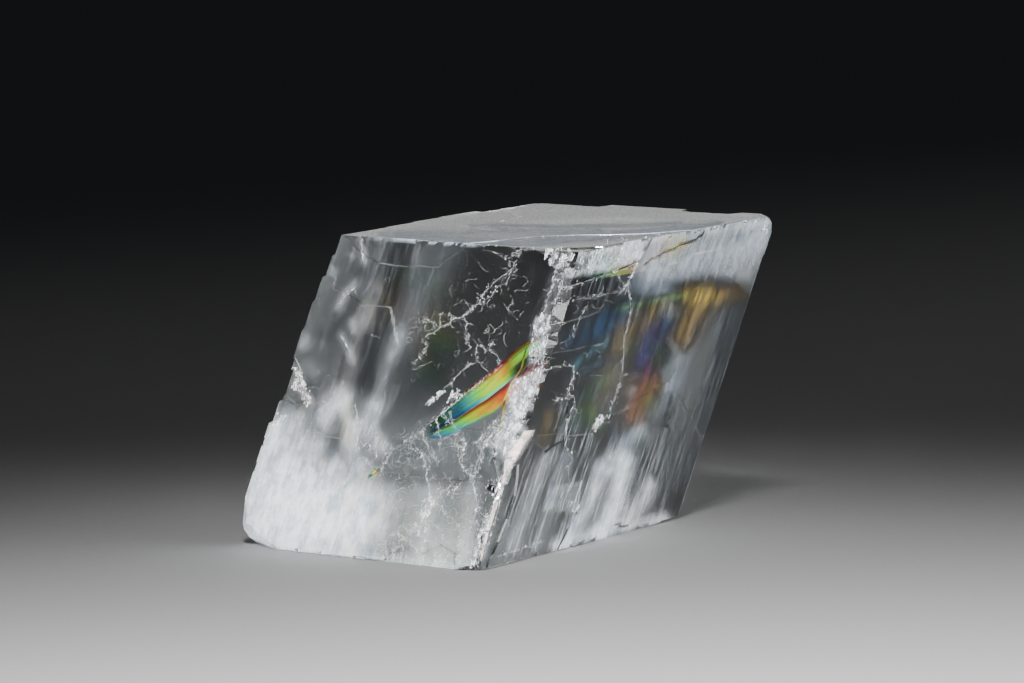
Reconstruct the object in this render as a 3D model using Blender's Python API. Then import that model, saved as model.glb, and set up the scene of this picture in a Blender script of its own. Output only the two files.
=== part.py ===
"""A cleavage block of clear optical calcite, standing on one of its six faces.

Places on the block are given along its three edges: a runs from the left corner to the front one, b from the
front corner to the right one, and c from the base up. All three are in millimetres from the left base corner.
"""

import math
import random

import bmesh
import bpy
import numpy as np
from mathutils import Vector

MM = 0.001

# Driving sizes
EDGE_A = 31.8
EDGE_B = 38.9
EDGE_C = 31.0
BLUNT_ANGLE = math.radians(101.9)  # between the edges at a blunt corner of calcite
CLEAR_COLOUR = (0.93, 0.95, 0.96, 0.35)
CLEAR_ROUGHNESS = 0.05
CALCITE_IOR = 1.658

# The three edge directions. Every cleavage face lies along two of them.
HALF_BLUNT = BLUNT_ANGLE / 2
LEAN = -math.cos(BLUNT_ANGLE) / math.cos(HALF_BLUNT)
ALONG_A = Vector((math.cos(HALF_BLUNT), -math.sin(HALF_BLUNT), 0.0))
ALONG_B = Vector((math.cos(HALF_BLUNT), math.sin(HALF_BLUNT), 0.0))
ALONG_C = Vector((LEAN, 0.0, math.sqrt(1.0 - LEAN * LEAN)))
DIRECTIONS = (ALONG_A, ALONG_B, ALONG_C)
SIZES = (EDGE_A, EDGE_B, EDGE_C)

# Each face: the edge direction that it cuts across, and whether it is at that edge's far end
FACES = {
    "left": (1, False),
    "right": (0, True),
    "back_left": (0, False),
    "back_right": (1, True),
    "base": (2, False),
    "top": (2, True),
}

# Radius of the worn round on each edge and corner, and how many flats it has between two faces
EDGE_WEAR = {
    ("left", "back_left"): (0.40, 3),
    ("right", "back_right"): (0.30, 3),
    ("back_left", "back_right"): (0.55, 3),
    ("left", "top"): (0.10, 2),
    ("right", "top"): (0.16, 2),
    ("back_left", "top"): (0.22, 3),
    ("back_right", "top"): (0.18, 3),
    ("left", "base"): (0.35, 3),
    ("right", "base"): (0.32, 3),
    ("back_left", "base"): (0.45, 3),
    ("back_right", "base"): (0.30, 3),
}
CORNER_WEAR = {
    ("left", "back_left", "base"): (2.1, 6),
    ("left", "right", "base"): (1.2, 4),
    ("right", "back_right", "base"): (0.9, 3),
    ("back_left", "back_right", "base"): (1.4, 4),
    ("left", "back_left", "top"): (0.7, 3),
    ("right", "back_right", "top"): (1.0, 4),
    ("back_left", "back_right", "top"): (0.9, 4),
}

# Layers that have flaked off a face: the outline on the face, in millimetres along its two edge directions
# in a, b, c order, and how deep the layer was. A side that leaves the face is open there.
OFF = 1.5  # how far an open side runs past the face
LEDGE_POINT_GAP = 1.6  # between the points that make a layer's outline uneven
LEDGE_UNEVENNESS = 0.13
LEDGE_SEED = 11
LEDGES = {
    # The left silhouette steps in towards the top.
    "back_left": [
        ([(-OFF, 12.2), (7.0, 12.2), (15.5, 15.4), (25.0, 14.4), (EDGE_B + OFF, 19.0),
          (EDGE_B + OFF, EDGE_C + OFF), (-OFF, EDGE_C + OFF)], 0.60),
        ([(-OFF, 14.4), (1.6, 14.4), (2.4, 16.2), (1.8, 17.4), (-OFF, 17.4)], 0.92),
        ([(-OFF, 21.6), (5.5, 21.6), (9.5, 24.0), (22.0, 24.0), (27.0, 26.6),
          (27.0, EDGE_C + OFF), (-OFF, EDGE_C + OFF)], 0.78),
        ([(-OFF, 24.4), (8.0, 24.4), (12.0, 26.8), (19.5, 27.6), (19.5, EDGE_C + OFF),
          (-OFF, EDGE_C + OFF)], 1.02),
        ([(-OFF, 26.8), (6.5, 26.8), (10.5, 28.6), (14.0, 29.2), (14.0, EDGE_C + OFF),
          (-OFF, EDGE_C + OFF)], 1.38),
        ([(-OFF, 29.0), (5.0, 29.0), (8.4, 30.0), (9.0, EDGE_C + OFF), (-OFF, EDGE_C + OFF)], 1.72),
        ([(29.0, -OFF), (29.0, 3.4), (32.2, 6.8), (EDGE_B + OFF, 6.8), (EDGE_B + OFF, -OFF)], 0.55),
    ],
    # The stepped chip at the top front corner, the crushed stretch of the front edge, and small losses
    "left": [
        ([(27.0, EDGE_C + OFF), (27.2, 30.5), (27.9, 30.5), (27.9, 29.9), (28.8, 29.9), (28.8, 29.2),
          (EDGE_A + OFF, 29.2), (EDGE_A + OFF, EDGE_C + OFF)], 0.62),
        ([(30.4, 22.9), (29.0, 21.4), (29.2, 19.6), (28.6, 17.9), (28.4, 16.4), (29.0, 14.4), (28.7, 12.6),
          (29.5, 10.7), (30.9, 8.9), (EDGE_A + OFF, 8.7), (EDGE_A + OFF, 23.1)], 0.36),
        ([(19.5, -OFF), (20.2, 0.9), (22.4, 1.6), (24.6, 1.2), (26.4, 2.2), (28.6, 1.5), (29.3, -OFF)], 0.30),
        ([(-OFF, 18.4), (0.8, 18.7), (2.0, 17.6), (3.0, 16.0), (4.7, 14.4), (3.2, 14.0), (1.2, 14.9),
          (-OFF, 15.2)], 0.32),
        ([(4.6, EDGE_C + OFF), (4.9, 30.4), (6.2, 30.0), (8.8, 30.3), (11.0, 30.55),
          (12.4, EDGE_C + OFF)], 0.22),
        ([(19.4, EDGE_C + OFF), (20.0, 30.5), (22.6, 30.2), (24.4, 30.6), (25.0, EDGE_C + OFF)], 0.16),
    ],
    # The crushed band under the top edge with a thin step below it, a boxed step in the middle, and the foot
    "right": [
        ([(-OFF, 27.4), (2.0, 27.6), (6.5, 28.1), (10.0, 28.3), (12.8, 28.7), (13.6, 29.9),
          (14.6, EDGE_C + OFF), (-OFF, EDGE_C + OFF)], 0.44),
        ([(-OFF, 26.2), (4.0, 26.3), (11.2, 26.0), (12.2, 27.6), (15.5, 28.9), (21.5, 29.7), (24.0, 30.2),
          (24.6, EDGE_C + OFF), (-OFF, EDGE_C + OFF)], 0.10),
        ([(-OFF, 19.2), (6.0, 19.25), (7.3, 17.75), (7.05, 16.0), (8.4, 13.9), (9.2, 11.7), (6.0, 10.9),
          (2.6, 12.6), (-OFF, 13.4)], 0.11),
        ([(-OFF, 9.6), (1.6, 10.3), (3.0, 7.0), (2.6, 2.6), (1.4, -OFF), (-OFF, -OFF)], 0.28),
        ([(6.6, -OFF), (9.0, 4.4), (15.3, 7.0), (16.6, 3.6), (14.2, -OFF)], 0.10),
        ([(31.6, EDGE_C + OFF), (32.0, 30.1), (34.6, 29.6), (EDGE_B + OFF, 29.4),
          (EDGE_B + OFF, EDGE_C + OFF)], 0.12),
        ([(21.0, -OFF), (21.8, 0.8), (25.4, 1.2), (28.2, 0.6), (30.8, 1.0), (32.0, -OFF)], 0.25),
    ],
    # The right silhouette steps in just below its upper tip.
    "back_right": [
        ([(EDGE_A + OFF, 26.9), (27.0, 26.9), (22.0, 24.2), (12.0, 24.2), (8.0, 20.8), (-OFF, 20.8),
          (-OFF, -OFF), (EDGE_A + OFF, -OFF)], 0.38),
        ([(EDGE_A + OFF, 9.4), (24.5, 9.4), (20.5, 5.2), (13.5, 5.2), (13.5, -OFF),
          (EDGE_A + OFF, -OFF)], 0.50),
        ([(-OFF, 16.6), (4.0, 16.6), (6.6, 12.8), (6.6, 6.2), (3.2, 3.0), (-OFF, 3.0)], 0.95),
    ],
    # The shallow lens-shaped step behind the top front corner, a deeper one at the corner, and two behind
    "top": [
        ([(17.4, -OFF), (18.6, 2.0), (19.6, 5.6), (20.8, 9.1), (23.6, 12.3), (27.1, 14.6), (29.4, 17.0),
          (30.8, 20.5), (EDGE_A + OFF, 24.0), (EDGE_A + OFF, -OFF)], 0.08),
        ([(24.6, -OFF), (25.4, 1.3), (28.0, 2.2), (29.6, 3.0), (30.8, 4.6), (EDGE_A + OFF, 6.4),
          (EDGE_A + OFF, -OFF)], 0.20),
        ([(-OFF, 26.0), (2.4, 26.0), (5.2, 30.0), (10.0, 31.4), (10.8, EDGE_B + OFF),
          (-OFF, EDGE_B + OFF)], 0.28),
        ([(20.4, EDGE_B + OFF), (20.4, 37.2), (23.5, 36.4), (26.8, 36.6), (28.0, EDGE_B + OFF)], 0.24),
    ],
    "base": [
        ([(-OFF, 28.0), (3.8, 28.0), (6.2, 32.0), (6.2, EDGE_B + OFF), (-OFF, EDGE_B + OFF)], 0.45),
        ([(23.8, EDGE_B + OFF), (23.8, 36.6), (27.0, 35.0), (EDGE_A + OFF, 35.0),
          (EDGE_A + OFF, EDGE_B + OFF)], 0.30),
    ],
}

# The break along the front edge: the height, where it leaves the left face (a), its ridge (a and b), and where
# it leaves the right face (b)
FRONT_BREAK = [
    (-OFF, 31.3, (31.5, 0.20), 0.55),
    (3.9, 31.2, (31.5, 0.20), 0.50),
    (7.0, 31.2, (31.5, 0.22), 0.55),
    (12.0, 30.8, (31.3, 0.32), 0.75),
    (16.2, 30.8, (31.3, 0.36), 0.85),
    (19.4, 30.9, (31.4, 0.34), 0.80),
    (22.8, 31.0, (31.4, 0.36), 0.95),
    (25.4, 31.1, (31.4, 0.38), 1.10),
    (29.4, 30.7, (31.2, 0.38), 1.20),
    (EDGE_C + OFF, 30.4, (31.1, 0.36), 1.25),
]

# Small cleavage nicks along the edges: how many on each edge, and the largest one's reach along and across it
NICK_COUNT = {
    ("left", "top"): (13, 1.5, 0.20),
    ("right", "top"): (11, 1.6, 0.30),
    ("back_left", "top"): (8, 1.8, 0.42),
    ("back_right", "top"): (8, 1.6, 0.34),
    ("left", "back_left"): (9, 1.5, 0.50),
    ("right", "back_right"): (9, 1.6, 0.40),
    ("back_left", "back_right"): (8, 2.0, 0.60),
    ("left", "base"): (10, 1.4, 0.40),
    ("right", "base"): (11, 1.6, 0.42),
    ("back_left", "base"): (8, 1.8, 0.52),
    ("back_right", "base"): (8, 1.8, 0.46),
}
NICK_END_ROOM = 3.2  # kept free of nicks at each end of an edge
NICK_SMALLEST = 0.35  # of the largest nick's size
NICK_FILL = 0.9  # the most of its own stretch of the edge that a nick takes
NICK_SEED = 5

# Splinters gone from the front break: height of the middle, length, reach past the break into the left and
# the right face, how far its ends slope, and the share of its reach that is left at its upper end
FRONT_SPLINTERS = [
    (28.1, 1.3, 0.25, 0.55, 0.5, 0.7),
    (26.7, 1.0, 0.20, 0.25, -0.3, 0.4),
    (24.4, 2.9, 0.45, 0.20, 0.9, 0.3),
    (22.3, 0.9, 0.25, 0.50, -0.4, 0.8),
    (20.9, 1.3, 0.65, 0.35, 0.6, 0.2),
    (19.0, 1.9, 0.35, 0.85, 1.0, 0.5),
    (17.3, 1.0, 0.85, 0.30, -0.5, 0.6),
    (15.5, 1.9, 1.15, 0.50, 1.1, 0.4),
    (13.7, 1.2, 0.55, 1.00, -0.8, 0.7),
    (11.9, 1.7, 1.05, 0.45, 0.9, 0.3),
    (9.6, 2.2, 0.35, 0.80, -0.9, 0.6),
    (7.7, 0.8, 0.65, 0.20, 0.3, 0.5),
    (5.5, 2.7, 0.30, 0.55, 1.0, 0.2),
    (3.2, 1.1, 0.55, 0.30, -0.4, 0.6),
    (1.6, 1.2, 0.20, 0.45, 0.4, 0.8),
]
OVERRUN = 0.6  # how far a splinter's floor runs on past the two faces, as a share of its width
EDGE_ROOM = 2.0  # how far the front edge's cutters stand out past the edge

MERGE_DISTANCE = 0.002 * MM
CUT_TOLERANCE = 0.0002 * MM
SHARP_ANGLE = math.radians(25.0)


def place(a, b, c):
    """The point at those distances along the three edges, with the base's centre at the origin."""
    corner = -(ALONG_A * EDGE_A + ALONG_B * EDGE_B) / 2
    return (corner + ALONG_A * a + ALONG_B * b + ALONG_C * c) * MM


def outward(face):
    """The face's unit normal, pointing out of the block."""
    across, far = FACES[face]
    first, second = (DIRECTIONS[i] for i in range(3) if i != across)
    normal = first.cross(second).normalized()
    points_along = normal.dot(DIRECTIONS[across]) > 0
    return normal if points_along == far else -normal


def on_face(face, first, second, rise=0.0):
    """The point at (first, second) along the face's two directions and rise out of the block."""
    across, far = FACES[face]
    spot = [first, second]
    spot.insert(across, SIZES[across] + rise if far else -rise)
    return place(*spot)


def clear_scene():
    for thing in list(bpy.data.objects):
        bpy.data.objects.remove(thing)


def calcite_material():
    material = bpy.data.materials.new("clear_calcite")
    material.use_nodes = True
    shader = material.node_tree.nodes["Principled BSDF"]
    shader.inputs["Base Color"].default_value = (*CLEAR_COLOUR[:3], 1.0)
    shader.inputs["Roughness"].default_value = CLEAR_ROUGHNESS
    shader.inputs["IOR"].default_value = CALCITE_IOR
    shader.inputs["Transmission Weight"].default_value = 1.0
    material.diffuse_color = CLEAR_COLOUR
    return material


def object_from(bm, name):
    bmesh.ops.recalc_face_normals(bm, faces=bm.faces)
    mesh = bpy.data.meshes.new(name)
    bm.to_mesh(mesh)
    bm.free()
    made = bpy.data.objects.new(name, mesh)
    bpy.context.scene.collection.objects.link(made)
    return made


def prism(bm, lower, upper):
    """A closed prism between two rings of points."""
    low = [bm.verts.new(point) for point in lower]
    high = [bm.verts.new(point) for point in upper]
    bm.faces.new(low)
    bm.faces.new(high)
    for i in range(len(low)):
        following = (i + 1) % len(low)
        bm.faces.new((low[i], low[following], high[following], high[i]))


def slice_off(bm, point, normal):
    """Cuts away what lies beyond a plane and closes the cut."""
    everything = bm.verts[:] + bm.edges[:] + bm.faces[:]
    cut = bmesh.ops.bisect_plane(
        bm, geom=everything, dist=CUT_TOLERANCE, plane_co=point, plane_no=normal, clear_outer=True
    )
    rim = [item for item in cut["geom_cut"] if isinstance(item, bmesh.types.BMEdge) and item.is_boundary]
    if rim:
        bmesh.ops.contextual_create(bm, geom=rim)


def blends(count, steps):
    """Shares of count face normals that step evenly between the faces, each face with a share of its own."""
    if count == 2:
        return [(i / steps, 1 - i / steps) for i in range(1, steps)]
    return [
        (i / steps, j / steps, (steps - i - j) / steps)
        for i in range(1, steps)
        for j in range(1, steps - i)
    ]


def round_off(bm, meeting, radius, steps):
    """Wears the edge or corner where these faces meet down to a round of that radius, in flat facets."""
    normals = [outward(face) for face in meeting]
    spot = [0.0, 0.0, 0.0]
    for face in meeting:
        across, far = FACES[face]
        spot[across] = SIZES[across] if far else 0.0
    lengths = np.array([[first.dot(second) for second in normals] for first in normals])
    inset = np.linalg.solve(lengths, np.full(len(normals), -radius))
    centre = place(*spot) + sum((normal * float(back) for normal, back in zip(normals, inset)), Vector()) * MM
    for shares in blends(len(normals), steps + 1):
        normal = sum((side * share for side, share in zip(normals, shares)), Vector()).normalized()
        slice_off(bm, centre + normal * radius * MM, normal)


def worn_block():
    """The whole rhombohedron with its edges and corners worn."""
    bm = bmesh.new()
    corners = [(0, 0), (EDGE_A, 0), (EDGE_A, EDGE_B), (0, EDGE_B)]
    prism(bm, [place(a, b, 0) for a, b in corners], [place(a, b, EDGE_C) for a, b in corners])
    bmesh.ops.recalc_face_normals(bm, faces=bm.faces)
    for wear in (EDGE_WEAR, CORNER_WEAR):
        for meeting, (radius, steps) in wear.items():
            round_off(bm, meeting, radius, steps)
    bmesh.ops.remove_doubles(bm, verts=bm.verts, dist=MERGE_DISTANCE)
    bmesh.ops.dissolve_degenerate(bm, edges=bm.edges, dist=MERGE_DISTANCE)
    return object_from(bm, "calcite_rhomb")


def cut_with(block, cutter):
    """Takes the cutter's shape out of the block, and keeps the cutter out of the render."""
    cutter.hide_render = True
    cutter.display_type = "WIRE"
    modifier = block.modifiers.new("less_" + cutter.name, "BOOLEAN")
    modifier.operation = "DIFFERENCE"
    modifier.solver = "EXACT"
    modifier.object = cutter


def ragged(outline, dice):
    """The outline with points added on each side, moved off it a little, so that a step has a broken line."""
    points = []
    for i, start in enumerate(outline):
        end = outline[(i + 1) % len(outline)]
        along = Vector(end) - Vector(start)
        sideways = Vector((-along.y, along.x)).normalized()
        pieces = max(1, int(along.length / LEDGE_POINT_GAP))
        points.append(Vector(start))
        for k in range(1, pieces):
            shift = dice.uniform(-LEDGE_UNEVENNESS, LEDGE_UNEVENNESS)
            points.append(Vector(start) + along * (k / pieces) + sideways * shift)
    return points


def flake_ledges(block):
    """Takes off each flaked layer, down to a floor that lies along the cleavage."""
    dice = random.Random(LEDGE_SEED)
    for face, layers in LEDGES.items():
        for number, (outline, depth) in enumerate(layers):
            ring = ragged(outline, dice)
            bm = bmesh.new()
            prism(
                bm,
                [on_face(face, *point, rise=-depth) for point in ring],
                [on_face(face, *point, rise=OFF) for point in ring],
            )
            cut_with(block, object_from(bm, f"{face}_flake_{number}"))


def nick_edges(block):
    """Takes small cleavage rhombs out of each edge, all the nicks of one edge in one cutter."""
    dice = random.Random(NICK_SEED)
    for (first, second), (count, longest, deepest) in NICK_COUNT.items():
        bm = bmesh.new()
        first_across, second_across = FACES[first][0], FACES[second][0]
        run = 3 - first_across - second_across
        room = (SIZES[run] - 2 * NICK_END_ROOM) / count
        for k in range(count):
            length = dice.uniform(NICK_SMALLEST, 1.0) * min(longest, room * NICK_FILL)
            start = NICK_END_ROOM + k * room + dice.uniform(0, room - length)
            spans = [None, None, None]
            spans[run] = (start, start + length)
            for across, face in ((first_across, first), (second_across, second)):
                reach = deepest * dice.uniform(NICK_SMALLEST, 1.0)
                far = FACES[face][1]
                size = SIZES[across]
                spans[across] = (size - reach, size + OFF) if far else (-OFF, reach)
            (a0, a1), (b0, b1), (c0, c1) = spans
            ring = [(a0, b0), (a1, b0), (a1, b1), (a0, b1)]
            prism(bm, [place(a, b, c0) for a, b in ring], [place(a, b, c1) for a, b in ring])
        cut_with(block, object_from(bm, f"nicks_{first}_{second}"))


def front_break_at(height):
    """Where the front break leaves the left face (a) and the right face (b) at a height."""
    heights, lefts, _, rights = zip(*FRONT_BREAK)
    return float(np.interp(height, heights, lefts)), float(np.interp(height, heights, rights))


def break_front_edge(block):
    """Takes the front edge off along a break of two facets that widens towards the top."""
    bm = bmesh.new()
    rings = []
    for height, left, ridge, right in FRONT_BREAK:
        outline = [
            (EDGE_A + EDGE_ROOM, -EDGE_ROOM),
            (EDGE_A + EDGE_ROOM, right),
            (EDGE_A, right),
            ridge,
            (left, 0.0),
            (left, -EDGE_ROOM),
        ]
        rings.append([bm.verts.new(place(a, b, height)) for a, b in outline])
    bm.faces.new(rings[0])
    bm.faces.new(rings[-1])
    for lower, upper in zip(rings, rings[1:]):
        for i in range(len(lower)):
            following = (i + 1) % len(lower)
            bm.faces.new((lower[i], lower[following], upper[following], upper[i]))
    bmesh.ops.triangulate(bm, faces=bm.faces)
    cut_with(block, object_from(bm, "front_break"))


def splinter_front_edge(block):
    """Breaks wedges with sloping ends out of the two sides of the front break."""
    for number, (height, length, past_left, past_right, slope, share_above) in enumerate(FRONT_SPLINTERS):
        left, right = front_break_at(height)
        rings = []
        for end, share in ((-1, 1.0), (1, share_above)):
            on_left = left - past_left * share
            on_right = right + past_right * share
            spare = (EDGE_A - on_left) * OVERRUN
            level = height + end * length / 2
            rings.append([
                place(EDGE_A + EDGE_ROOM, -EDGE_ROOM, level),
                place(EDGE_A + spare, on_right * (1 + OVERRUN), level + slope / 2),
                place(on_left - spare, -on_right * OVERRUN, level - slope / 2),
            ])
        bm = bmesh.new()
        prism(bm, *rings)
        bmesh.ops.triangulate(bm, faces=bm.faces)
        cut_with(block, object_from(bm, f"front_splinter_{number}"))


def main():
    clear_scene()
    block = worn_block()
    flake_ledges(block)
    nick_edges(block)
    break_front_edge(block)
    splinter_front_edge(block)
    block.data.materials.append(calcite_material())
    block.data.set_sharp_from_angle(angle=SHARP_ANGLE)


main()
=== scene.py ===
"""The looks of a clear block of optical calcite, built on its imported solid.

Each operator makes one piece or one group of like pieces, and one makes the stage. Marks on the block are
placed by the pixel of the photograph where they show, taken as a ray from the camera to the block's skin.
"""

import math
import random

import bmesh
import bpy
import numpy as np
from bpy.props import FloatProperty, FloatVectorProperty, IntProperty, PointerProperty
from mathutils import Matrix, Vector, noise
from mathutils.bvhtree import BVHTree


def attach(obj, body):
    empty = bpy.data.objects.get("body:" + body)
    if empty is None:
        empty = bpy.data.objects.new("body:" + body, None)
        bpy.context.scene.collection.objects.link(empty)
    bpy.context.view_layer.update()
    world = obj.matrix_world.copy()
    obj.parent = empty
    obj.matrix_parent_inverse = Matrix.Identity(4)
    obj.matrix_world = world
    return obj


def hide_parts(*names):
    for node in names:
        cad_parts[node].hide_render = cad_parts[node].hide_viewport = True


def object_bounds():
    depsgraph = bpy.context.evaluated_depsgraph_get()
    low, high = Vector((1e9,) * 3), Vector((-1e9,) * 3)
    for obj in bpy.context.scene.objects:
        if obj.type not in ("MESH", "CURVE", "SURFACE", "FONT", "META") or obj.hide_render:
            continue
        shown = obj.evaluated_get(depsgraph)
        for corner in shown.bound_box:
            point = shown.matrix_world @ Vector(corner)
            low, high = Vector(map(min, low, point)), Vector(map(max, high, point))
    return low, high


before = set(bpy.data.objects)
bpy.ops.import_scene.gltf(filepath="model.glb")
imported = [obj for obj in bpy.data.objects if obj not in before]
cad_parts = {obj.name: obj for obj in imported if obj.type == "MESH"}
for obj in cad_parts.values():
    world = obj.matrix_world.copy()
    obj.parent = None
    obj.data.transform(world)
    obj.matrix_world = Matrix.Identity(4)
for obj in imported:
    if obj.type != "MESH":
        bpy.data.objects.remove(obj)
CAD_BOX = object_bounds()

bl_info = {
    "name": "Clear Calcite Block",
    "version": (1, 0, 0),
    "blender": (4, 5, 0),
    "location": "View3D > Sidebar > Calcite",
    "description": "Finishes a clear cleavage block of calcite with its cracks, veils and rainbow flaws",
    "category": "Object",
}

MM = 0.001
NODE = "calcite_rhomb"
BODY = "root"

# The edge directions of calcite's cleavage block, as the solid is built
BLUNT_ANGLE = math.radians(101.9)
HALF_BLUNT = BLUNT_ANGLE / 2
LEAN = -math.cos(BLUNT_ANGLE) / math.cos(HALF_BLUNT)
ALONG_A = Vector((math.cos(HALF_BLUNT), -math.sin(HALF_BLUNT), 0.0))
ALONG_B = Vector((math.cos(HALF_BLUNT), math.sin(HALF_BLUNT), 0.0))
ALONG_C = Vector((LEAN, 0.0, math.sqrt(1.0 - LEAN * LEAN)))
EDGE_A = 31.8
EDGE_B = 38.9
LEFT_CORNER = -(ALONG_A * EDGE_A + ALONG_B * EDGE_B) / 2
EDGE_FRAME = Matrix((ALONG_A, ALONG_B, ALONG_C)).transposed().inverted()
CORNER_OFFSET = -(EDGE_FRAME @ LEFT_CORNER)
CALCITE_IOR = 1.658
FACE_NORMALS = {
    "left": ALONG_C.cross(-ALONG_A).normalized(),
    "right": ALONG_B.cross(ALONG_C).normalized(),
    "back_left": ALONG_C.cross(ALONG_B).normalized(),
    "back_right": ALONG_C.cross(ALONG_A).normalized(),
    "top": Vector((0, 0, 1)),
    "base": Vector((0, 0, -1)),
}

# The camera, at the photograph's angle
PHOTO_WIDTH = 1024
PHOTO_HEIGHT = 683
SENSOR = 36.0
LENS_PIXELS = 6000.0
CAMERA_AZIMUTH = math.radians(-8.795)
CAMERA_PITCH = math.radians(6.245)
CAMERA_ROLL = math.radians(1.048)
CAMERA_DISTANCE = 0.5739
AIM_RIGHT = 5.66 * MM
AIM_BACK = -0.15 * MM
AIM_UP = 18.25 * MM

# Cracks: the pixels that each passes through, its thickness in millimetres, how far it wanders as a share of
# its length, and its side twigs per pixel
LEFT_CRACKS = {
    "main": ([(521, 249), (516, 260), (513, 268), (504, 275), (496, 281), (485, 291), (479, 303), (470, 311),
              (464, 316), (452, 320), (439, 328), (428, 334), (421, 342)], 0.13, 0.07, 0.10),
    "main_shadow": ([(515, 264), (508, 281), (494, 293), (483, 304)], 0.05, 0.08, 0.10),
    "top_arc": ([(490, 251), (502, 257), (513, 256), (519, 250)], 0.05, 0.08, 0.03),
    "branch_down": ([(465, 317), (466, 327), (469, 335), (471, 348)], 0.08, 0.14, 0.16),
    "branch_side": ([(451, 320), (444, 314), (436, 313)], 0.04, 0.16, 0.06),
    "branch_low": ([(439, 328), (433, 322), (424, 319), (415, 322)], 0.04, 0.16, 0.05),
    "hook": ([(421, 342), (427, 346), (425, 353), (419, 357), (413, 365)], 0.07, 0.10, 0.05),
    "curl": ([(452, 388), (455, 377), (462, 370), (473, 365), (477, 358), (476, 350), (481, 345), (485, 352)],
             0.09, 0.12, 0.12),
    "curl_foot": ([(477, 360), (483, 368), (488, 371)], 0.08, 0.10, 0.08),
    "curl_right": ([(493, 342), (489, 348), (498, 356), (499, 364)], 0.07, 0.14, 0.10),
    "flaw_brow": ([(421, 430), (442, 413), (463, 396), (484, 379), (502, 365)], 0.08, 0.012, 0.04),
    "crossing_1": ([(442, 409), (446, 420), (454, 428)], 0.07, 0.10, 0.05),
    "crossing_2": ([(433, 417), (438, 432), (441, 441), (439, 451)], 0.07, 0.10, 0.05),
    "crossing_3": ([(451, 411), (455, 426), (464, 441), (465, 449)], 0.07, 0.08, 0.06),
    "drop": ([(458, 432), (454, 445), (461, 447), (464, 453), (460, 464), (470, 476), (473, 483)],
             0.09, 0.12, 0.12),
    "corner": ([(420, 431), (424, 432), (424, 440), (429, 451), (435, 458), (438, 464)], 0.13, 0.08, 0.10),
    "chain": ([(424, 431), (409, 438), (402, 445), (395, 449), (388, 460), (382, 470)], 0.07, 0.12, 0.16),
    "trunk": ([(412, 449), (419, 451), (423, 456), (425, 466), (426, 476), (430, 490), (428, 500), (425, 511),
               (421, 526), (420, 530), (425, 542), (426, 564)], 0.15, 0.07, 0.14),
    "trunk_arc": ([(435, 499), (442, 507), (447, 516), (456, 523), (459, 530), (471, 532)], 0.08, 0.08, 0.10),
    "trunk_arm": ([(433, 500), (442, 490), (449, 487), (452, 499), (454, 490), (461, 482)], 0.05, 0.12, 0.08),
    "spray_left": ([(416, 530), (402, 526), (395, 532), (385, 545), (382, 559)], 0.06, 0.16, 0.16),
    "spray_foot": ([(409, 540), (416, 549), (423, 561)], 0.09, 0.10, 0.10),
    "spray_wide": ([(385, 545), (391, 535), (402, 540), (411, 538)], 0.05, 0.18, 0.10),
    "spray_right": ([(428, 521), (437, 528), (443, 540), (441, 556), (444, 566)], 0.07, 0.14, 0.14),
    "second": ([(481, 445), (480, 458), (475, 469), (473, 478), (473, 485), (476, 494), (478, 504),
                (476, 514), (473, 518), (474, 523), (480, 523)], 0.14, 0.07, 0.14),
    "second_twin": ([(484, 446), (483, 459), (478, 470), (475, 480)], 0.06, 0.06, 0.06),
    "third": ([(459, 437), (466, 445), (461, 463), (464, 470), (473, 480)], 0.08, 0.09, 0.10),
    "foot_1": ([(478, 504), (485, 516), (483, 530), (476, 542), (470, 565)], 0.09, 0.12, 0.14),
    "foot_2": ([(459, 530), (463, 541), (459, 552), (462, 566)], 0.06, 0.14, 0.12),
    "foot_3": ([(396, 532), (399, 546), (394, 560)], 0.05, 0.16, 0.10),
    "pale_line": ([(355, 402), (357, 418), (358, 437), (357, 452)], 0.10, 0.04, 0.03),
    "swirl": ([(362, 448), (368, 443), (376, 447), (377, 457), (370, 463), (364, 458)], 0.05, 0.14, 0.10),
    "left_1": ([(361, 240), (362, 250), (364, 264)], 0.22, 0.06, 0.02),
    "left_2": ([(356, 286), (347, 292), (340, 304)], 0.22, 0.08, 0.03),
    "left_3": ([(341, 335), (346, 344), (350, 357)], 0.14, 0.07, 0.03),
}

# Short upright marks along the foot of the left face: where the first and the last stand, how far they stray
# along it as a share of their spacing, how far they lean and reach in pixels, and the three looks of a crack
EDGE_TICKS = 17
EDGE_TICK_PLACES = ((379, 561), (446, 566))
EDGE_TICK_STRAY = (0, 0.8)
EDGE_TICK_LEAN = (-2, 5)
EDGE_TICK_REACH = (5.0, 21.0)
EDGE_TICK_LOOKS = (0.10, 0.08, 0.06)

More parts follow.
